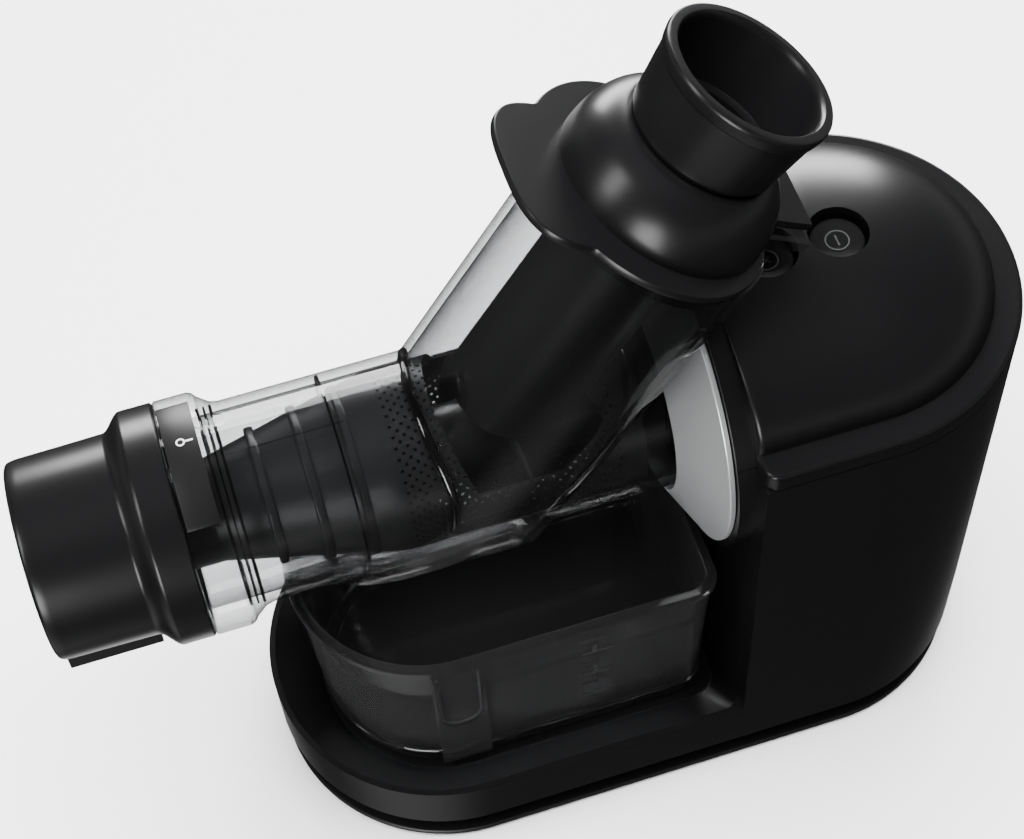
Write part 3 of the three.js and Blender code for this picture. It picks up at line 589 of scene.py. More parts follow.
def make_base_plate():
    """A foot plate with a plinth up into the housing, vents, and holes for feet and screws."""
    bottom, top = plate_low.z, plate_high.z
    plate = levels("base_plate_look", DARK, inset(BASE, 0.7), [
        (1.6, bottom), (0.5, bottom + 0.3), (0, bottom + 1), (0, bottom + 2.4),
        (0.4, bottom + 2.9), (1, bottom + 3),
    ], FINE)
    join(plate, levels("plinth", DARK, inset(BASE, 5.2), [(0, bottom + 1), (0, top)], FINE))
    cut(plate, levels("tray", DARK, inset(BASE, 7.6), [(0, bottom + 3), (0, top + 2)], COARSE))
    first_vent, vent_pitch, vent_width, vent_half = 66, 10, 4, 22
    for i in range(5):
        x = first_vent + vent_pitch * i
        cut(plate, box("vent", (x, -vent_half, bottom - 2), (x + vent_width, vent_half, bottom + 5), DARK))
    for i in CORNERS:
        for node, radius in ((f"base_screw_{i}", 3.8), (f"rubber_foot_{i}", 2.9)):
            cut(plate, post("hole", bottom - 2, bottom + 6, radius, *centre(node)))
    smooth(plate)
    finish_piece(even_normals(plate), "housing", "dark_plastic", "base_plate")


def make_top_cover():
    lip = levels("top_cover_look", BLACK, HEAD, [
        (0.4, TOWER_TOP + 0.3), (0, TOWER_TOP + 0.7), (0, LIP_TOP - 1.4), (0.3, LIP_TOP - 0.6),
        (0.8, LIP_TOP - 0.15), (1.6, LIP_TOP),
    ], FINE)
    rise = DOME_TOP - LIP_TOP
    half, dome_wall = 52.6, 2.6
    root = outline((TOWER_FRONT, X_MAX - HALF + half, half, 2, half - EPS), LIP_TOP - 3, FINE)
    rings = dome_rings(TOWER_FRONT, half, LIP_TOP, rise, 88.5, 23, FINE)
    join(lip, loft("dome", [root] + rings, BLACK))
    nose = disc("nose", NOSE_FRONT, TOWER_FRONT + 2, NOSE_R)
    keep(nose, box("above", (0, -90, TOWER_TOP + 0.3), (190, 90, 260), BLACK))
    join(lip, nose)
    for x in (POWER_X, REVERSE_X):
        cut(lip, post("recess", 205, 240, BUTTON_R, x, 0, 64))
    round_edges(lip, 0.55, 3)
    room = levels("lip_room", BLACK, HEAD, [(3.2, TOWER_TOP - 2), (3.2, LIP_TOP - 2.5)], COARSE)
    under = dome_rings(TOWER_FRONT + dome_wall, half - dome_wall, LIP_TOP - 3, rise + 0.4, 84, 9, COARSE)
    hole = disc("socket_hole", NOSE_FRONT - 5, TOWER_FRONT + 8, SOCKET_HOLE_R, 96)
    cut(lip, join(room, loft("dome_room", under, BLACK)), hole)
    for x in (POWER_X, REVERSE_X):
        sleeve = post("sleeve", 209, DOME_TOP - 2, BUTTON_R + 1.8, x, 0, 48)
        cut(sleeve, post("bore", 205, 240, BUTTON_R, x, 0, 64))
        join(lip, sleeve)
    smooth(lip)
    finish_piece(even_normals(lip), "housing", "black_plastic", "top_cover")


def make_ring():
    """The silver cone round the drum's rear end, hollow behind and with a short sleeve inside."""
    back = NOSE_FRONT - 0.3
    tip = RING_TIP
    bore, inside = 33.7, 35.3
    profile = [
        (0, bore), (0.3, 34.3), (0.6, 34.9),
        (back - 1.9 - tip, RING_OUTER - 0.35), (back - 1.6 - tip, RING_OUTER), (back - tip, RING_OUTER),
        (back - tip, RING_OUTER - 3), (2.8, inside), (back - 4 - tip, inside), (back - 4 - tip, bore),
        (0, bore),
    ]
    ring = turned("collar_ring_look", profile, SILVER, (tip, 0, DRUM_Z), X_AXIS, 160)
    smooth(round_edges(ring, 0.25, 2))
    finish_piece(even_normals(ring), "housing", "silver_trim", "collar_ring")


def make_socket():
    start = NOSE_FRONT - 3
    flange = TOWER_FRONT + 3.3
    bore, outside, flange_r, shaft_hole = 33.2, 36.4, 44, 8
    profile = [
        (0, bore), (0, 36.2), (flange - start, outside), (flange - start, flange_r),
        (62 - start, flange_r), (62 - start, outside), (63.6 - start, 34), (63.6 - start, shaft_hole),
        (61 - start, shaft_hole), (61 - start, bore), (0, bore),
    ]
    socket = turned("drum_socket_look", profile, DARK, (start, 0, DRUM_Z), X_AXIS, 96)
    smooth(round_edges(socket, 0.3, 2))
    finish_piece(socket, "housing", "dark_plastic", "drum_socket")


# ------------------------------------------------------------------ drum, in clear plastic
TO_DRUM = Matrix.Translation((0, 0, DRUM_Z * MM))


def chute_point(e, y, s):
    """A point e out from the chute's axis, y across it and s up it."""
    return CHUTE_FOOT + CHUTE_OUT * e + Vector((0, y, 0)) + CHUTE_UP * s


def oval_ring(a, b, flat, s, count=96, offset=0.0):
    """A ring of half axes a and b round the chute's axis, cut flat on the tower side."""
    ring = []
    for i in range(count):
        angle = 2 * math.pi * i / count
        ring.append(chute_point(offset + min(a * math.cos(angle), flat), b * math.sin(angle), s))
    return ring


def oval_rod(name, shrink, s0, s1, look, count=96):
    return loft(name, [
        oval_ring(CHUTE_A - shrink, CHUTE_B - shrink, CHUTE_FLAT - shrink, s, count) for s in (s0, s1)
    ], look)


def chute_box(name, e0, e1, y0, y1, s0, s1, look):
    made = box(name, (e0, y0, s0), (e1, y1, s1), look)
    for vertex in made.data.vertices:
        vertex.co = chute_point(*(vertex.co / MM)) * MM
    return made


def chute_end(name, radius):
    """The space above the drum's axis or within a cylinder round it."""
    space = box(name, (-140, -80, DRUM_Z), (120, 80, 340), CLEAR)
    return join(space, disc("round", -139, 119, radius, 256))


def make_drum():
    """Tube, chute, chute mouth with its tab, nozzle and guide rail, hollowed as one moulding."""
    f = CAP_SEAM + 0.3
    tube = turned("juicing_drum_look", [
        (-123 - f, 0), (-123 - f, DRUM_R), (0, DRUM_R), (0, SKIRT_R - 0.6), (0.6, SKIRT_R), (11, SKIRT_R),
        (12.6, SKIRT_R - 0.7), (13.6, SKIRT_R - 2), (17, DRUM_R + 0.6), (19.5, DRUM_R),
        (DRUM_REAR - f, DRUM_R), (DRUM_REAR - f, 0),
    ], CLEAR, (f, 0, DRUM_Z), X_AXIS, 256)
    chute = keep(oval_rod("chute", 0, -45, CHUTE_TOP, CLEAR, 192), chute_end("end", 37.6))
    mouth = loft("mouth", [oval_ring(37, 39.5, 60, s, 192, -4) for s in (120.6, CHUTE_TOP)], CLEAR)
    lobe = chute_box("lobe", 20, 49, -12, 22, 120.6, CHUTE_TOP, CLEAR)
    nozzle = post("nozzle", 118, DRUM_Z - DRUM_R + 4, 9, NOZZLE_X, 0)
    rail = box("rail", (-96, -1.4, DRUM_R - 1), (-58, 1.4, DRUM_R + 0.9), CLEAR)
    rail.data.transform(TO_DRUM @ spin(7, "X"))
    join(tube, chute, mouth, lobe, nozzle, rail)
    throat = oval_rod("throat", CHUTE_WALL, -45, CHUTE_TOP + 10, CLEAR, 192)
    cut(tube, keep(throat, chute_end("end", 34.6)))
    cut(tube, disc("bore", -130, 57, DRUM_BORE_R, 256), post("nozzle_bore", 110, DRUM_Z, 7, NOZZLE_X, 0),
        disc("rear", 50, 70, 10.8, 64))
    round_edges(tube, 0.5, 3)
    finish_piece(tube, "drum", "clear_plastic", "juicing_drum")


def arc_plate(name, x0, x1, from_deg, to_deg, r0, r1, look, steps=24):
    """A curved plate on the drum; angles go from +Y up over the top."""
    rings = []
    for i in range(steps + 1):
        angle = math.radians(from_deg + (to_deg - from_deg) * i / steps)
        c, v = math.cos(angle), math.sin(angle)
        section = ((x0, r0), (x1, r0), (x1, r1), (x0, r1))
        rings.append([(x, r * c, DRUM_Z + r * v) for x, r in section])
    return loft(name, rings, look)


def bead(name, path, radius, look, closed=True, sides=10):
    """A round bead along a path of points."""
    count = len(path)
    rings = []
    for i, point in enumerate(path):
        before = path[(i - 1) % count] if closed or i else point
        after = path[(i + 1) % count] if closed or i < count - 1 else point
        along = (after - before).normalized()
        side = along.cross(Vector((0.3, 1, 0.2))).normalized()
        other = along.cross(side)
        angles = [2 * math.pi * k / sides for k in range(sides)]
        rings.append([point + radius * (math.cos(a) * side + math.sin(a) * other) for a in angles])
    return loft(name, rings, look, closed)


def chute_meets_drum(angle, radius, shrink):
    """Where the chute's wall, at an angle round it, reaches a cylinder round the drum's axis."""
    e = min((CHUTE_A - shrink) * math.cos(angle), CHUTE_FLAT - shrink)
    y = (CHUTE_B - shrink) * math.sin(angle)
    if abs(y) >= radius:
        y = math.copysign(radius - 0.01, y)
    height = math.sqrt(radius ** 2 - y ** 2)
    start = chute_point(e, y, 0)
    return start + CHUTE_UP * ((DRUM_Z + height - start.z) / CHUTE_UP.z)


def make_edges():
    """The thick edge where chute and drum meet, the chute's two corners, and the drum's ribs, as beads in a
    darker clear tint: real edges and ribs, with painted shade for the dark lines that refraction draws
    along them.
    """
    steps = 96
    foot = bead("chute_edge", [
        chute_meets_drum(2 * math.pi * i / steps, DRUM_R - 1, 1.2) for i in range(steps)
    ], 1.5, PAINTED_EDGE_SHADE)
    finish_piece(smooth(foot, SOFT), "drum", "clear_plastic")
    corner = CHUTE_B * math.sqrt(1 - (CHUTE_FLAT / CHUTE_A) ** 2)
    for name, side in (("near", -1), ("far", 1)):
        line = [chute_point(CHUTE_FLAT - 1.6, side * (corner - 1.2), s) for s in range(2, 118, 5)]
        line = [point for point in line if math.hypot(point.y, point.z - DRUM_Z) > DRUM_R]
        edge = bead(f"chute_corner_{name}", line, 1.3, PAINTED_EDGE_SHADE, False)
        finish_piece(smooth(edge, SOFT), "drum", "clear_plastic")
    low, high = DRUM_BORE_R + 0.5, DRUM_R - 0.6
    for i, (x, half) in enumerate(((-99.6, 0.45), (-97.4, 0.3), (-95.4, 0.45), (-61.2, 0.35)), 1):
        profile = [(-half, low), (-half, high), (half, high), (half, low), (-half, low)]
        rib = turned(f"drum_rib_{i}", profile, PAINTED_EDGE_SHADE, (x, 0, DRUM_Z), X_AXIS, 96)
        finish_piece(smooth(rib), "drum", "clear_plastic")


def make_lock_panel():
    """A dark panel on the drum's flange, with a plain ring and bar as its lock mark."""
    panel = arc_plate("lock_panel", -111.4, -101.2, 58, 128, SKIRT_R - 0.2, SKIRT_R + 0.35, DARK, 40)
    smooth(round_edges(panel, 0.15, 2), 30)
    finish_piece(panel, "drum", "dark_plastic")
    top = SKIRT_R + 0.42
    ring = turned("lock_mark", [(-0.2, 0.9), (-0.2, 1.4), (0, 1.4), (0, 0.9), (-0.2, 0.9)], MARK,
                  (-106.4, 0, DRUM_Z + top), Z_AXIS, 40)
    bar = box("bar", (-104.9, -0.3, DRUM_Z + top - 0.2), (-102.6, 0.3, DRUM_Z + top), MARK)
    join(ring, bar)
    ring.data.transform(TO_DRUM @ spin(-4, "X") @ TO_DRUM.inverted())
    finish_piece(smooth(ring), "drum", "silver_trim")


# ------------------------------------------------------------------ end cap
def make_end_cap():
    """A cup with a rounded front, a soft shoulder up to the skirt, and a square spout below."""
    f = CAP_FRONT
    shoulder, shoulder_length, shoulder_r, steps = 31, 7, 32.3, 16
    profile = [(0, 0), (0.15, 26), (0.3, 29.6), (0.1, 30.2), (0.5, 31.0), (1.0, 31.4), (1.8, 31.65)]
    profile += [(4, 31.9), (20, 32.1)]
    for i in range(steps + 1):
        radius = shoulder_r + (SKIRT_R - shoulder_r) * (1 - math.cos(math.pi * i / steps)) / 2
        profile.append((shoulder + shoulder_length * i / steps, radius))
    seam = CAP_SEAM - f
    profile += [(41, SKIRT_R), (seam - 0.5, SKIRT_R), (seam, SKIRT_R - 0.5), (seam, 0)]
    shell = turned("end_cap_look", profile, BLACK, (f, 0, DRUM_Z), X_AXIS, 128)
    spout = box("spout", (f, -17, cap_low.z), (f + 30.5, 17, DRUM_Z), BLACK)
    join(shell, spout)
    round_edges(shell, 0.7, 3)
    room = turned("room", [
        (2.6, 0), (2.6, 29), (34.5, 29.4), (36, DRUM_R + 1), (60, DRUM_R + 1), (60, 0),
    ], BLACK, (f, 0, DRUM_Z), X_AXIS, 96)
    cut(shell, room, box("channel", (f + 2.6, -14.6, 110), (f + 28.1, 14.6, DRUM_Z), BLACK))
    smooth(shell)
    finish_piece(even_normals(shell), "end_cap", "black_plastic", "end_cap")


# ------------------------------------------------------------------ strainer and auger
def strainer_radius(x):
    share = (x - CONE_FRONT) / (CONE_REAR - CONE_FRONT)
    return STRAINER_TIP_R + (STRAINER_R - STRAINER_TIP_R) * min(1, max(0, share))


def make_strainer():
    """A perforated sleeve under the chute, with a ringed cone ahead of it."""
    wall = 1.3
    front, rear = -121, 30
    holes_from, holes_to, pitch = -46, 26, 1.8
    around = 2 * round(math.pi * STRAINER_R / pitch)
    stations = [CONE_FRONT + (CONE_REAR - CONE_FRONT) * i / 14 for i in range(15)]
    stations += list(np.arange(holes_from, holes_to, pitch)) + [rear]
    first_hole = stations.index(holes_from)
    points = []
    for x in stations:
        radius = strainer_radius(x) - 0.05
        for i in range(around):
            angle = 2 * math.pi * (i + 0.5) / around
            points.append((x, radius * math.cos(angle), DRUM_Z + radius * math.sin(angle)))
    faces = []
    for level in range(len(stations) - 1):
        for i in range(around):
            a, b = level * around + i, level * around + (i + 1) % around
            faces.append((a, b, b + around, a + around))
    data = bpy.data.meshes.new("sleeve")
    data.from_pydata([Vector(p) * MM for p in points], [], faces)
    tool = bmesh.new()
    tool.from_mesh(data)
    tool.faces.ensure_lookup_table()
    last_hole = len(stations) - 3
    cells = [
        tool.faces[level * around + i]
        for level in range(first_hole, last_hole) for i in range(around) if (i + level) % 2
    ]
    bmesh.ops.inset_individual(tool, faces=cells, thickness=0.42 * MM, use_even_offset=True)
    bmesh.ops.delete(tool, geom=cells, context="FACES")
    bmesh.ops.recalc_face_normals(tool, faces=tool.faces)
    tool.to_mesh(data)
    tool.free()
    sleeve = linked("strainer_look", data)
    data.materials.append(MESH_GREY)
    thick = sleeve.modifiers.new("wall", "SOLIDIFY")
    thick.thickness = wall * MM
    thick.offset = -1
    apply_modifiers(sleeve)
    tip = STRAINER_TIP_R
    collar = turned("collar", [
        (0, tip - wall), (0, STRAINER_R - 0.4), (0.4, STRAINER_R), (1.6, STRAINER_R), (2, STRAINER_R - 0.4),
        (2, tip + 0.6), (2.6, tip), (CONE_FRONT - front + 0.2, tip), (CONE_FRONT - front + 0.2, tip - wall),
        (0, tip - wall),
    ], MESH_GREY, (front, 0, DRUM_Z), X_AXIS, 96)
    rings = [
        turned("ring", [
            (-1.5, radius - 4), (-1.5, radius - 0.5), (-1.1, radius - 0.1), (-0.7, radius), (0.7, radius),
            (1.1, radius - 0.1), (1.5, radius - 0.5), (1.5, radius - 4), (-1.5, radius - 4),
        ], MESH_GREY, (x, 0, DRUM_Z), X_AXIS, 96)
        for x, radius in ((-86, 22.1), (-71.7, 24.9), (-57.8, 27.5))
    ]
    hollow = turned("hollow", [
        (front - 5, 0), (front - 5, tip - wall), (CONE_FRONT, tip - wall),
        (CONE_REAR, STRAINER_R - wall - 0.1), (0, STRAINER_R - wall - 0.1), (0, 0),
    ], MESH_GREY, (0, 0, DRUM_Z), X_AXIS, 96)
    for ring in rings:
        cut(ring, copied(hollow))
    bpy.data.objects.remove(hollow)
    join(sleeve, collar, *rings)
    above = box("above", (-60, -50, DRUM_Z + 9), (60, 50, 260), MESH_GREY)
    cut(sleeve, keep(oval_rod("feed", 7, 0, 80, MESH_GREY), above))
    smooth(sleeve, 40)
    finish_piece(sleeve, "drum", "strainer_mesh", "strainer")


def make_auger():
    core = turned("auger_look", [
        (-124, 0), (-124, 5.4), (-123.4, 6), (-119, 7.5), (-112, 9), (-60, 13.5), (20, 11.5), (27, 15.6),
        (29.4, 16.8), (30.6, 17), (39, 17), (40, 16.4), (42, 10), (59.4, 10), (59.4, 0),
    ], AUGER_GREY, (0, 0, DRUM_Z), X_AXIS, 96)
    x0, x1, turns, steps_per_turn, inner, thickness, gap = -114, 26, 4.5, 56, 8, 1.8, 2.2
    count = round(turns * steps_per_turn)
    rings = []
    for i in range(count + 1):
        share = i / count
        angle = share * turns * 2 * math.pi
        x = x0 + (x1 - x0) * share
        outer = strainer_radius(x) - gap
        half_section = ((1, inner), (0.55, outer - 0.7), (0.3, outer))
        section = [(-thickness * k, r) for k, r in half_section]
        section += [(thickness * k, r) for k, r in reversed(half_section)]
        c, v = math.cos(angle), math.sin(angle)
        rings.append([(x + along, r * c, DRUM_Z + r * v) for along, r in section])
    join(core, loft("flight", rings, AUGER_GREY))
    smooth(core)
    finish_piece(core, "auger_drive", "auger_grey", "auger")


# ------------------------------------------------------------------ pushers
def cut_pusher_end(made):
    """The lower end stops at a level plane and hollows out round the auger."""
    below = box("below", (-150, -80, 40), (150, 80, STEM_BOTTOM), BLACK)
    cut(made, below, disc("scoop", -80, 80, SCOOP_R, 96))


def make_pusher():
    axis = CHUTE_FOOT + CHUTE_OUT * PUSHER_OFFSET
    low = FLANGE_TOP - 1
    stem = turned("pusher_look", [(0, 0), (0, STEM_R), (low, STEM_R), (low, 0)], BLACK, axis, CHUTE_UP, 128)
    cut_pusher_end(stem)
    round_edges(stem, 1.6, 5, 25)
    dome, steps = [], 18
    neck_r, no_flat = 22.2, 60
    for i in range(steps + 1):
        angle = math.radians(90) * i / steps
        grow, rise = math.cos(angle), math.sin(angle)
        a, b = neck_r + 10.8 * grow, neck_r + 11.3 * grow
        dome.append(oval_ring(a, b, no_flat, low + (NECK - low) * rise, 128, PUSHER_OFFSET))
    flange_levels = (
        (CHUTE_TOP + 0.3, 0.5), (CHUTE_TOP + 0.6, 0.1), (CHUTE_TOP + 1.2, 0), (FLANGE_TOP - 1.2, 0),
        (FLANGE_TOP - 0.6, 0.15), (FLANGE_TOP - 0.35, 0.6),
    )
    flange = loft("flange", [flange_ring(s, by) for s, by in flange_levels], BLACK)
    head = join(loft("dome", dome, BLACK), flange)
    round_edges(head, 0.35, 2, 40)
    join(stem, head)
    cut(stem, turned("bore", [(-5, 0), (-5, 17), (NECK + 5, 17), (NECK + 5, 0)], BLACK, axis, CHUTE_UP, 96))
    smooth(stem)
    finish_piece(even_normals(stem), "pusher", "black_plastic", "pusher")


def flange_ring(s, by, count=240):
    """The flange: an oval with a thumb lobe on one side and a square tab on the tower side."""
    ring = []
    for i in range(count):
        angle = 2 * math.pi * i / count
        c, v = math.cos(angle), math.sin(angle)
        oval, thumb = ray_to_oval(c, v, -7, 38, 40.5, 2), ray_to_oval(c, v, -33, 22, 26.5, 3)
        reach = max(oval, thumb, ray_to_tab(c, v)) - by
        ring.append(chute_point(reach * c, reach * v, s))
    return ring


def ray_to_oval(c, v, offset, a, b, power):
    """How far from the chute's axis the ray (c, v) leaves a superellipse centred at (offset, 0)."""
    def inside(t):
        return abs((t * c - offset) / a) ** power + abs(t * v / b) ** power < 1

    near = max(0.0, min(offset * c, a))
    if not inside(near):
        return 0
    far = 80.0
    for _ in range(40):
        middle = (near + far) / 2
        near, far = (middle, far) if inside(middle) else (near, middle)
    return near


def ray_to_tab(c, v):
    """How far the ray (c, v) runs inside the square tab."""
    end, side_low, side_high = 51, -7, 17
    if c <= 0:
        return 0
    side = side_high if v > 0 else side_low
    return min(end / c, side / v if abs(v) > 1e-6 else 1e6)


def make_small_pusher():
    axis = CHUTE_FOOT + CHUTE_OUT * PUSHER_OFFSET
    outside = turned("small_pusher_look", [
        (0, 0), (0, 16.5), (NECK + 0.3, 16.5), (NECK + 0.3, 21.4), (NECK + 0.6, 21.9), (NECK + 1.4, 22.3),
        (NECK + 1.9, 22.4), (NECK + 2.2, 22.9), (PUSHER_RIM - 4.9, 25.2), (PUSHER_RIM - 4.4, 25.7),
        (PUSHER_RIM - 1.6, 26.3), (PUSHER_RIM - 0.7, 26.2), (PUSHER_RIM - 0.2, 25.9), (PUSHER_RIM, 25.3),
        (PUSHER_RIM, 0),
    ], BLACK, axis, CHUTE_UP, 160)
    cup = turned("cup", [
        (120, 0), (120, 12), (121.6, 13.6), (124, 14), (NECK - 2, 14), (NECK - 1, 14.5), (NECK - 1, 16.4),
        (NECK - 0.4, 17), (NECK + 4, 17), (NECK + 4, 18.9), (NECK + 4.7, 19.6), (PUSHER_RIM - 2.5, 22.2),
        (PUSHER_RIM - 1.1, 22.5), (PUSHER_RIM - 0.3, 23.0), (PUSHER_RIM + 0.3, 23.8),
        (PUSHER_RIM + 2, 24.4), (PUSHER_RIM + 2, 0),
    ], BLACK, axis, CHUTE_UP, 160)
    cut(outside, cup)
    cut_pusher_end(outside)
    smooth(outside, 28)
    finish_piece(even_normals(outside), "small_pusher", "black_plastic", "small_pusher")


# ------------------------------------------------------------------ juice container
def make_container():
    """A stepped container with a rolled rim, a scooped grip tab and a low ledge round the outside."""
    left, right, half = jug_low.x, jug_high.x, jug_high.y
    floor, rim, wall, corner = jug_low.z, jug_high.z, 2.2, 9

    def at(width, x0, x1):
        return (x0, x1, width, width - EPS, corner)

    foot = at(42, left + 6.5, right - 3.5)
    step = at(43.2, left + 5, right - 2.6)
    top = at(half - 1.4, left + 1.4, right - 1.4)
    lip = at(half, left, right)
    rings = [
        (inset(foot, 2), floor), (inset(foot, 0.8), floor + 0.3), (inset(foot, 0.2), floor + 1.0),
        (foot, floor + 2), (foot, floor + 7), (inset(step, 0.3), floor + 7.7), (step, floor + 8.4),
        (top, rim - 4.4),
        (inset(lip, 0.5), rim - 3.6), (lip, rim - 3.0), (lip, rim - 1.0), (inset(lip, 0.3), rim - 0.3),
        (inset(lip, 1.0), rim), (inset(top, wall - 0.6), rim), (inset(top, wall), rim - 0.6),
        (inset(step, wall), floor + 9.5), (inset(foot, wall), floor + 8),
        (inset(foot, wall), floor + wall + 1.8), (inset(foot, wall + 0.6), floor + wall + 0.6),
        (inset(foot, wall + 2), floor + wall),
    ]
    jug = loft("juice_container_look", [outline(shape, z, FINE) for shape, z in rings], SMOKE)
    grip_x, grip_r, grip_z = -42, 7, floor + 48
    tab = box("tab", (grip_x - 9, -half - 0.6, floor + 14), (grip_x + 9, -half + 3.5, rim - 2), SMOKE)
    inner = levels("inner", SMOKE, inset(top, wall), [(0.2, floor + 5), (0, rim + 5)], FINE)
    cut(tab, inner)
    low = (grip_x - grip_r, -half - 3, grip_z)
    scoop = box("scoop", low, (grip_x + grip_r, -half + 1.2, rim - 5), SMOKE)
    bottom = rod("scoop_bottom", 4.2, grip_r, (grip_x, -half - 3, grip_z), (0, 1, 0), 48)
    join(scoop, bottom)
    cut(round_edges(tab, 0.5, 2), scoop)
    join(jug, tab)
    # A dark bead round the scoop: painted shade standing in for the dark line along the scoop's edge in
    # clear plastic.
    y = -half + 1.1
    arch = [Vector((grip_x - grip_r, y, z)) for z in np.arange(rim - 7, grip_z, -3.0)]
    for a in np.linspace(0, math.pi, 19):
        arch.append(Vector((grip_x - grip_r * math.cos(a), y, grip_z - grip_r * math.sin(a))))
    arch += [Vector((grip_x + grip_r, y, z)) for z in np.arange(grip_z + 2, rim - 7, 3.0)]
    edge = bead("grip_painted_edge_line", arch, 0.4, SCALE_AND_EDGE_SHADE, False)
    finish_piece(smooth(edge, SOFT), "juice_container", "smoke_plastic")
    ledge = levels("ledge", SMOKE, inset(step, -0.5), [
        (0.4, floor + 10.5), (0, floor + 10.9), (0, floor + 11.5), (0.4, floor + 11.9),
    ], FINE)
    cut(ledge, levels("inner", SMOKE, inset(step, wall - 0.5), [(0, floor + 8), (0, floor + 14)], FINE))
    join(jug, ledge)
    smooth(jug)
    finish_piece(even_normals(jug), "juice_container", "smoke_plastic", "juice_container")
    make_scale(floor, rim, top, step)


def make_scale(floor, rim, top, step):
    """Moulded level lines with plain numbers on the container's near side."""
    pieces = []
    for i, number in enumerate(("1", "2", "3")):
        z = 50 + 18 * i
        share = (z - floor - 8.4) / (rim - 4.4 - floor - 8.4)
        y = -(step[2] + (top[2] - step[2]) * share)
        pieces.append(box("line", (2, y - 0.25, z), (13, y + 0.4, z + 0.5), SCALE_AND_EDGE_SHADE))
        pieces.append(box("short", (2, y - 0.25, z + 9), (8, y + 0.4, z + 9.4), SCALE_AND_EDGE_SHADE))
        text = bpy.data.curves.new("number", "FONT")
        text.body = number
        text.size = 5 * MM
        text.extrude = 0.3 * MM
        letter = linked("number", text)
        bpy.context.view_layer.update()
        depsgraph = bpy.context.evaluated_depsgraph_get()
        data = bpy.data.meshes.new_from_object(letter.evaluated_get(depsgraph))
        data.transform(shift(5, y, z + 1.6) @ spin(90, "X"))
        bpy.data.objects.remove(letter)
        pieces.append(linked("number", data))
    tool = bmesh.new()
    for piece in pieces:
        tool.from_mesh(piece.data)
        bpy.data.objects.remove(piece)
    data = bpy.data.meshes.new("level_scale")
    tool.to_mesh(data)
    tool.free()
    data.materials.append(SCALE_AND_EDGE_SHADE)
    finish_piece(linked("level_scale", data), "juice_container", "smoke_plastic")


# ------------------------------------------------------------------ buttons and small fittings
def make_button(node, body, icon):
    """A dished cap with a raised ring on it, round a bar or a cross."""
    low, high = corners(node)
    x = centre(node)[0]
    top = high.z - 2.2
    length, cap_r, dish = top - low.z, 8.5, 0.5
    profile = [(0, 0), (0, 6), (5, 6), (5, cap_r)]
    profile += [(length - 0.7, cap_r), (length - 0.2, 8.3), (length, 7.8)]
    profile += [(length - dish * (1 - (r / 8) ** 2), r) for r in (7.2, 5, 3, 1)]
    profile += [(length - dish, 0)]
    cap = turned(f"{node}_look", profile, DARK, (x, 0, low.z), Z_AXIS, 96)
    smooth(cap)
    finish_piece(cap, body, "button_black", node)
    floor = top - 0.38
    mark = turned(f"{node}_mark", [(0, 3.3), (0.35, 3.35), (0.35, 3.85), (0, 3.9), (0, 3.3)], ICON,
                  (x, 0, floor - 0.1), Z_AXIS, 64)
    if icon == "bar":
        join(mark, box("bar", (x - 0.28, -2.1, floor - 0.3), (x + 0.28, 2.1, floor + 0.12), ICON))
    else:
        for side in (-1, 1):
            bar = box("bar", (x - 0.28, -1.6, floor - 0.3), (x + 0.28, 1.6, floor + 0.12), ICON)
            bar.data.transform(shift(x, 0, 0) @ spin(45 * side, "Z") @ shift(-x, 0, 0))
            join(mark, bar)
    finish_piece(smooth(mark), body, "button_black")


def make_foot(node):
    low, high = corners(node)
    x, y = centre(node)
    radius = (high.x - low.x) / 2
    foot = turned(f"{node}_look", [
        (0, 0), (0, radius - 1.6), (0.25, radius - 0.9), (0.8, radius - 0.3), (1.6, radius), (1.8, radius),
        (1.8, 2.7), (high.z - 1, 2.7), (high.z, 2), (high.z, 0),
    ], RUBBER, (x, y, low.z), Z_AXIS, 64)
    for i in (-1, 0, 1):
        across = y + 3.4 * i
        cut(foot, box("groove", (x - radius, across - 0.5, -1), (x + radius, across + 0.5, 0.45), RUBBER))
    finish_piece(smooth(foot), "housing", "rubber", node)


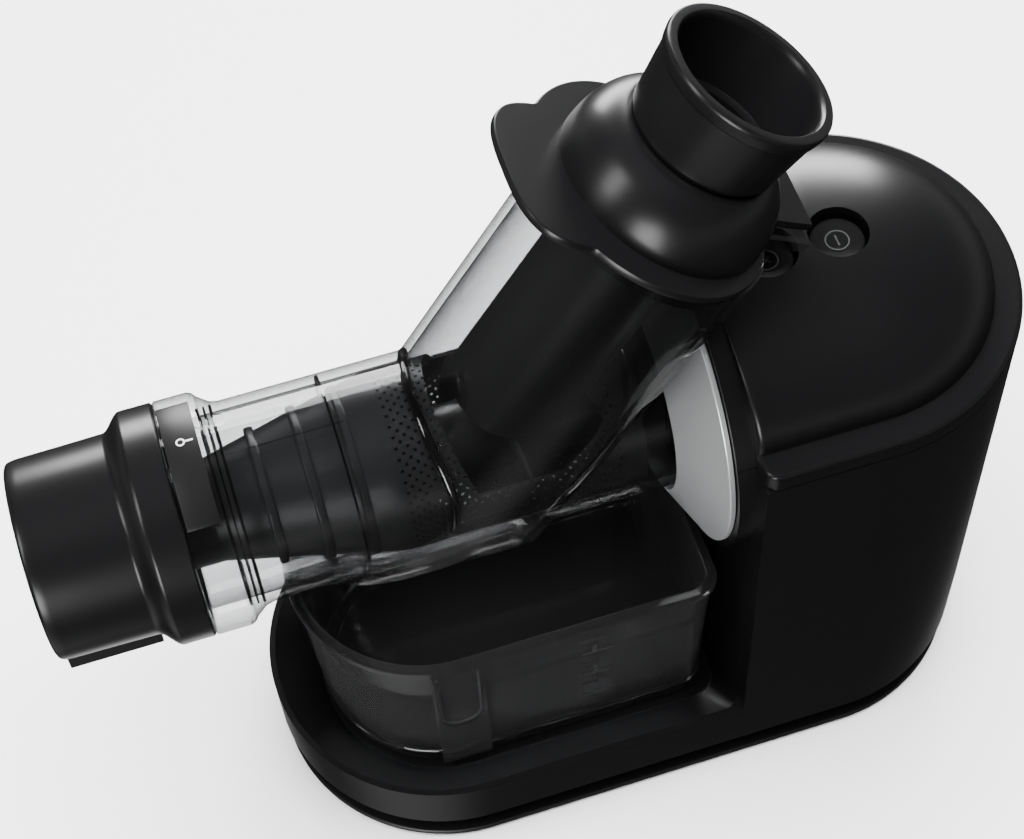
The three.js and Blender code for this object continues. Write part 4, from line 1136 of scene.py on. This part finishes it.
def make_screw(node):
    low, high = corners(node)
    x, y = centre(node)
    radius = (high.x - low.x) / 2
    screw = turned(f"{node}_look", [
        (0, 0), (0, radius - 0.9), (0.4, radius - 0.3), (1, radius), (2.2, radius), (2.2, 1.5),
        (high.z - low.z - 1, 1.4), (high.z - low.z, 0.6), (high.z - low.z, 0),
    ], STEEL, (x, y, low.z), Z_AXIS, 48)
    for turn in (0, 90):
        slot = box("slot", (-1.9, -0.35, low.z - 1), (1.9, 0.35, low.z + 1.2), STEEL)
        slot.data.transform(shift(x, y, 0) @ spin(turn + 20, "Z"))
        cut(screw, slot)
    finish_piece(smooth(screw), "housing", "steel", node)


# ------------------------------------------------------------------ run
make_camera()
make_studio()
make_housing()
make_base_plate()
make_top_cover()
make_ring()
make_socket()
make_drum()
make_edges()
make_lock_panel()
make_strainer()
make_auger()
make_end_cap()
make_pusher()
make_small_pusher()
make_container()
make_button("power_button", "power_button", "bar")
make_button("reverse_button", "reverse_button", "cross")
for i in CORNERS:
    make_foot(f"rubber_foot_{i}")
    make_screw(f"base_screw_{i}")

# Inner parts that keep the CAD shape and only get a material.
CAD_SHAPES = {
    "gearbox_case": DARK, "gearbox_cover": DARK, "output_bearing": BRONZE, "motor_case": STEEL,
    "motor_end_cap": DARK, "motor_bracket": STEEL, "control_board": BOARD, "power_switch": SWITCH,
    "reverse_switch": SWITCH, "interlock_switch": SWITCH, "cord_gland": RUBBER, "drive_shaft": STEEL,
    "output_gear": NYLON, "compound_gear": NYLON, "motor_shaft": STEEL, "rotor_core": ROTOR,
    "cooling_fan": NYLON, "auger_seal": SILICONE, "cap_seal": SILICONE,
}
for node, look in CAD_SHAPES.items():
    slots = frame["nodes"][node].data.materials
    slots.clear()
    slots.append(look)

# The floor is left out of reflections, so that dark sides stay dark.
pale = material("floor", (0.86, 0.86, 0.86), 0.7)
floor = box("floor", (-FLOOR_REACH, -FLOOR_REACH, -10), (FLOOR_REACH, FLOOR_REACH, 0), pale)
floor.visible_glossy = False
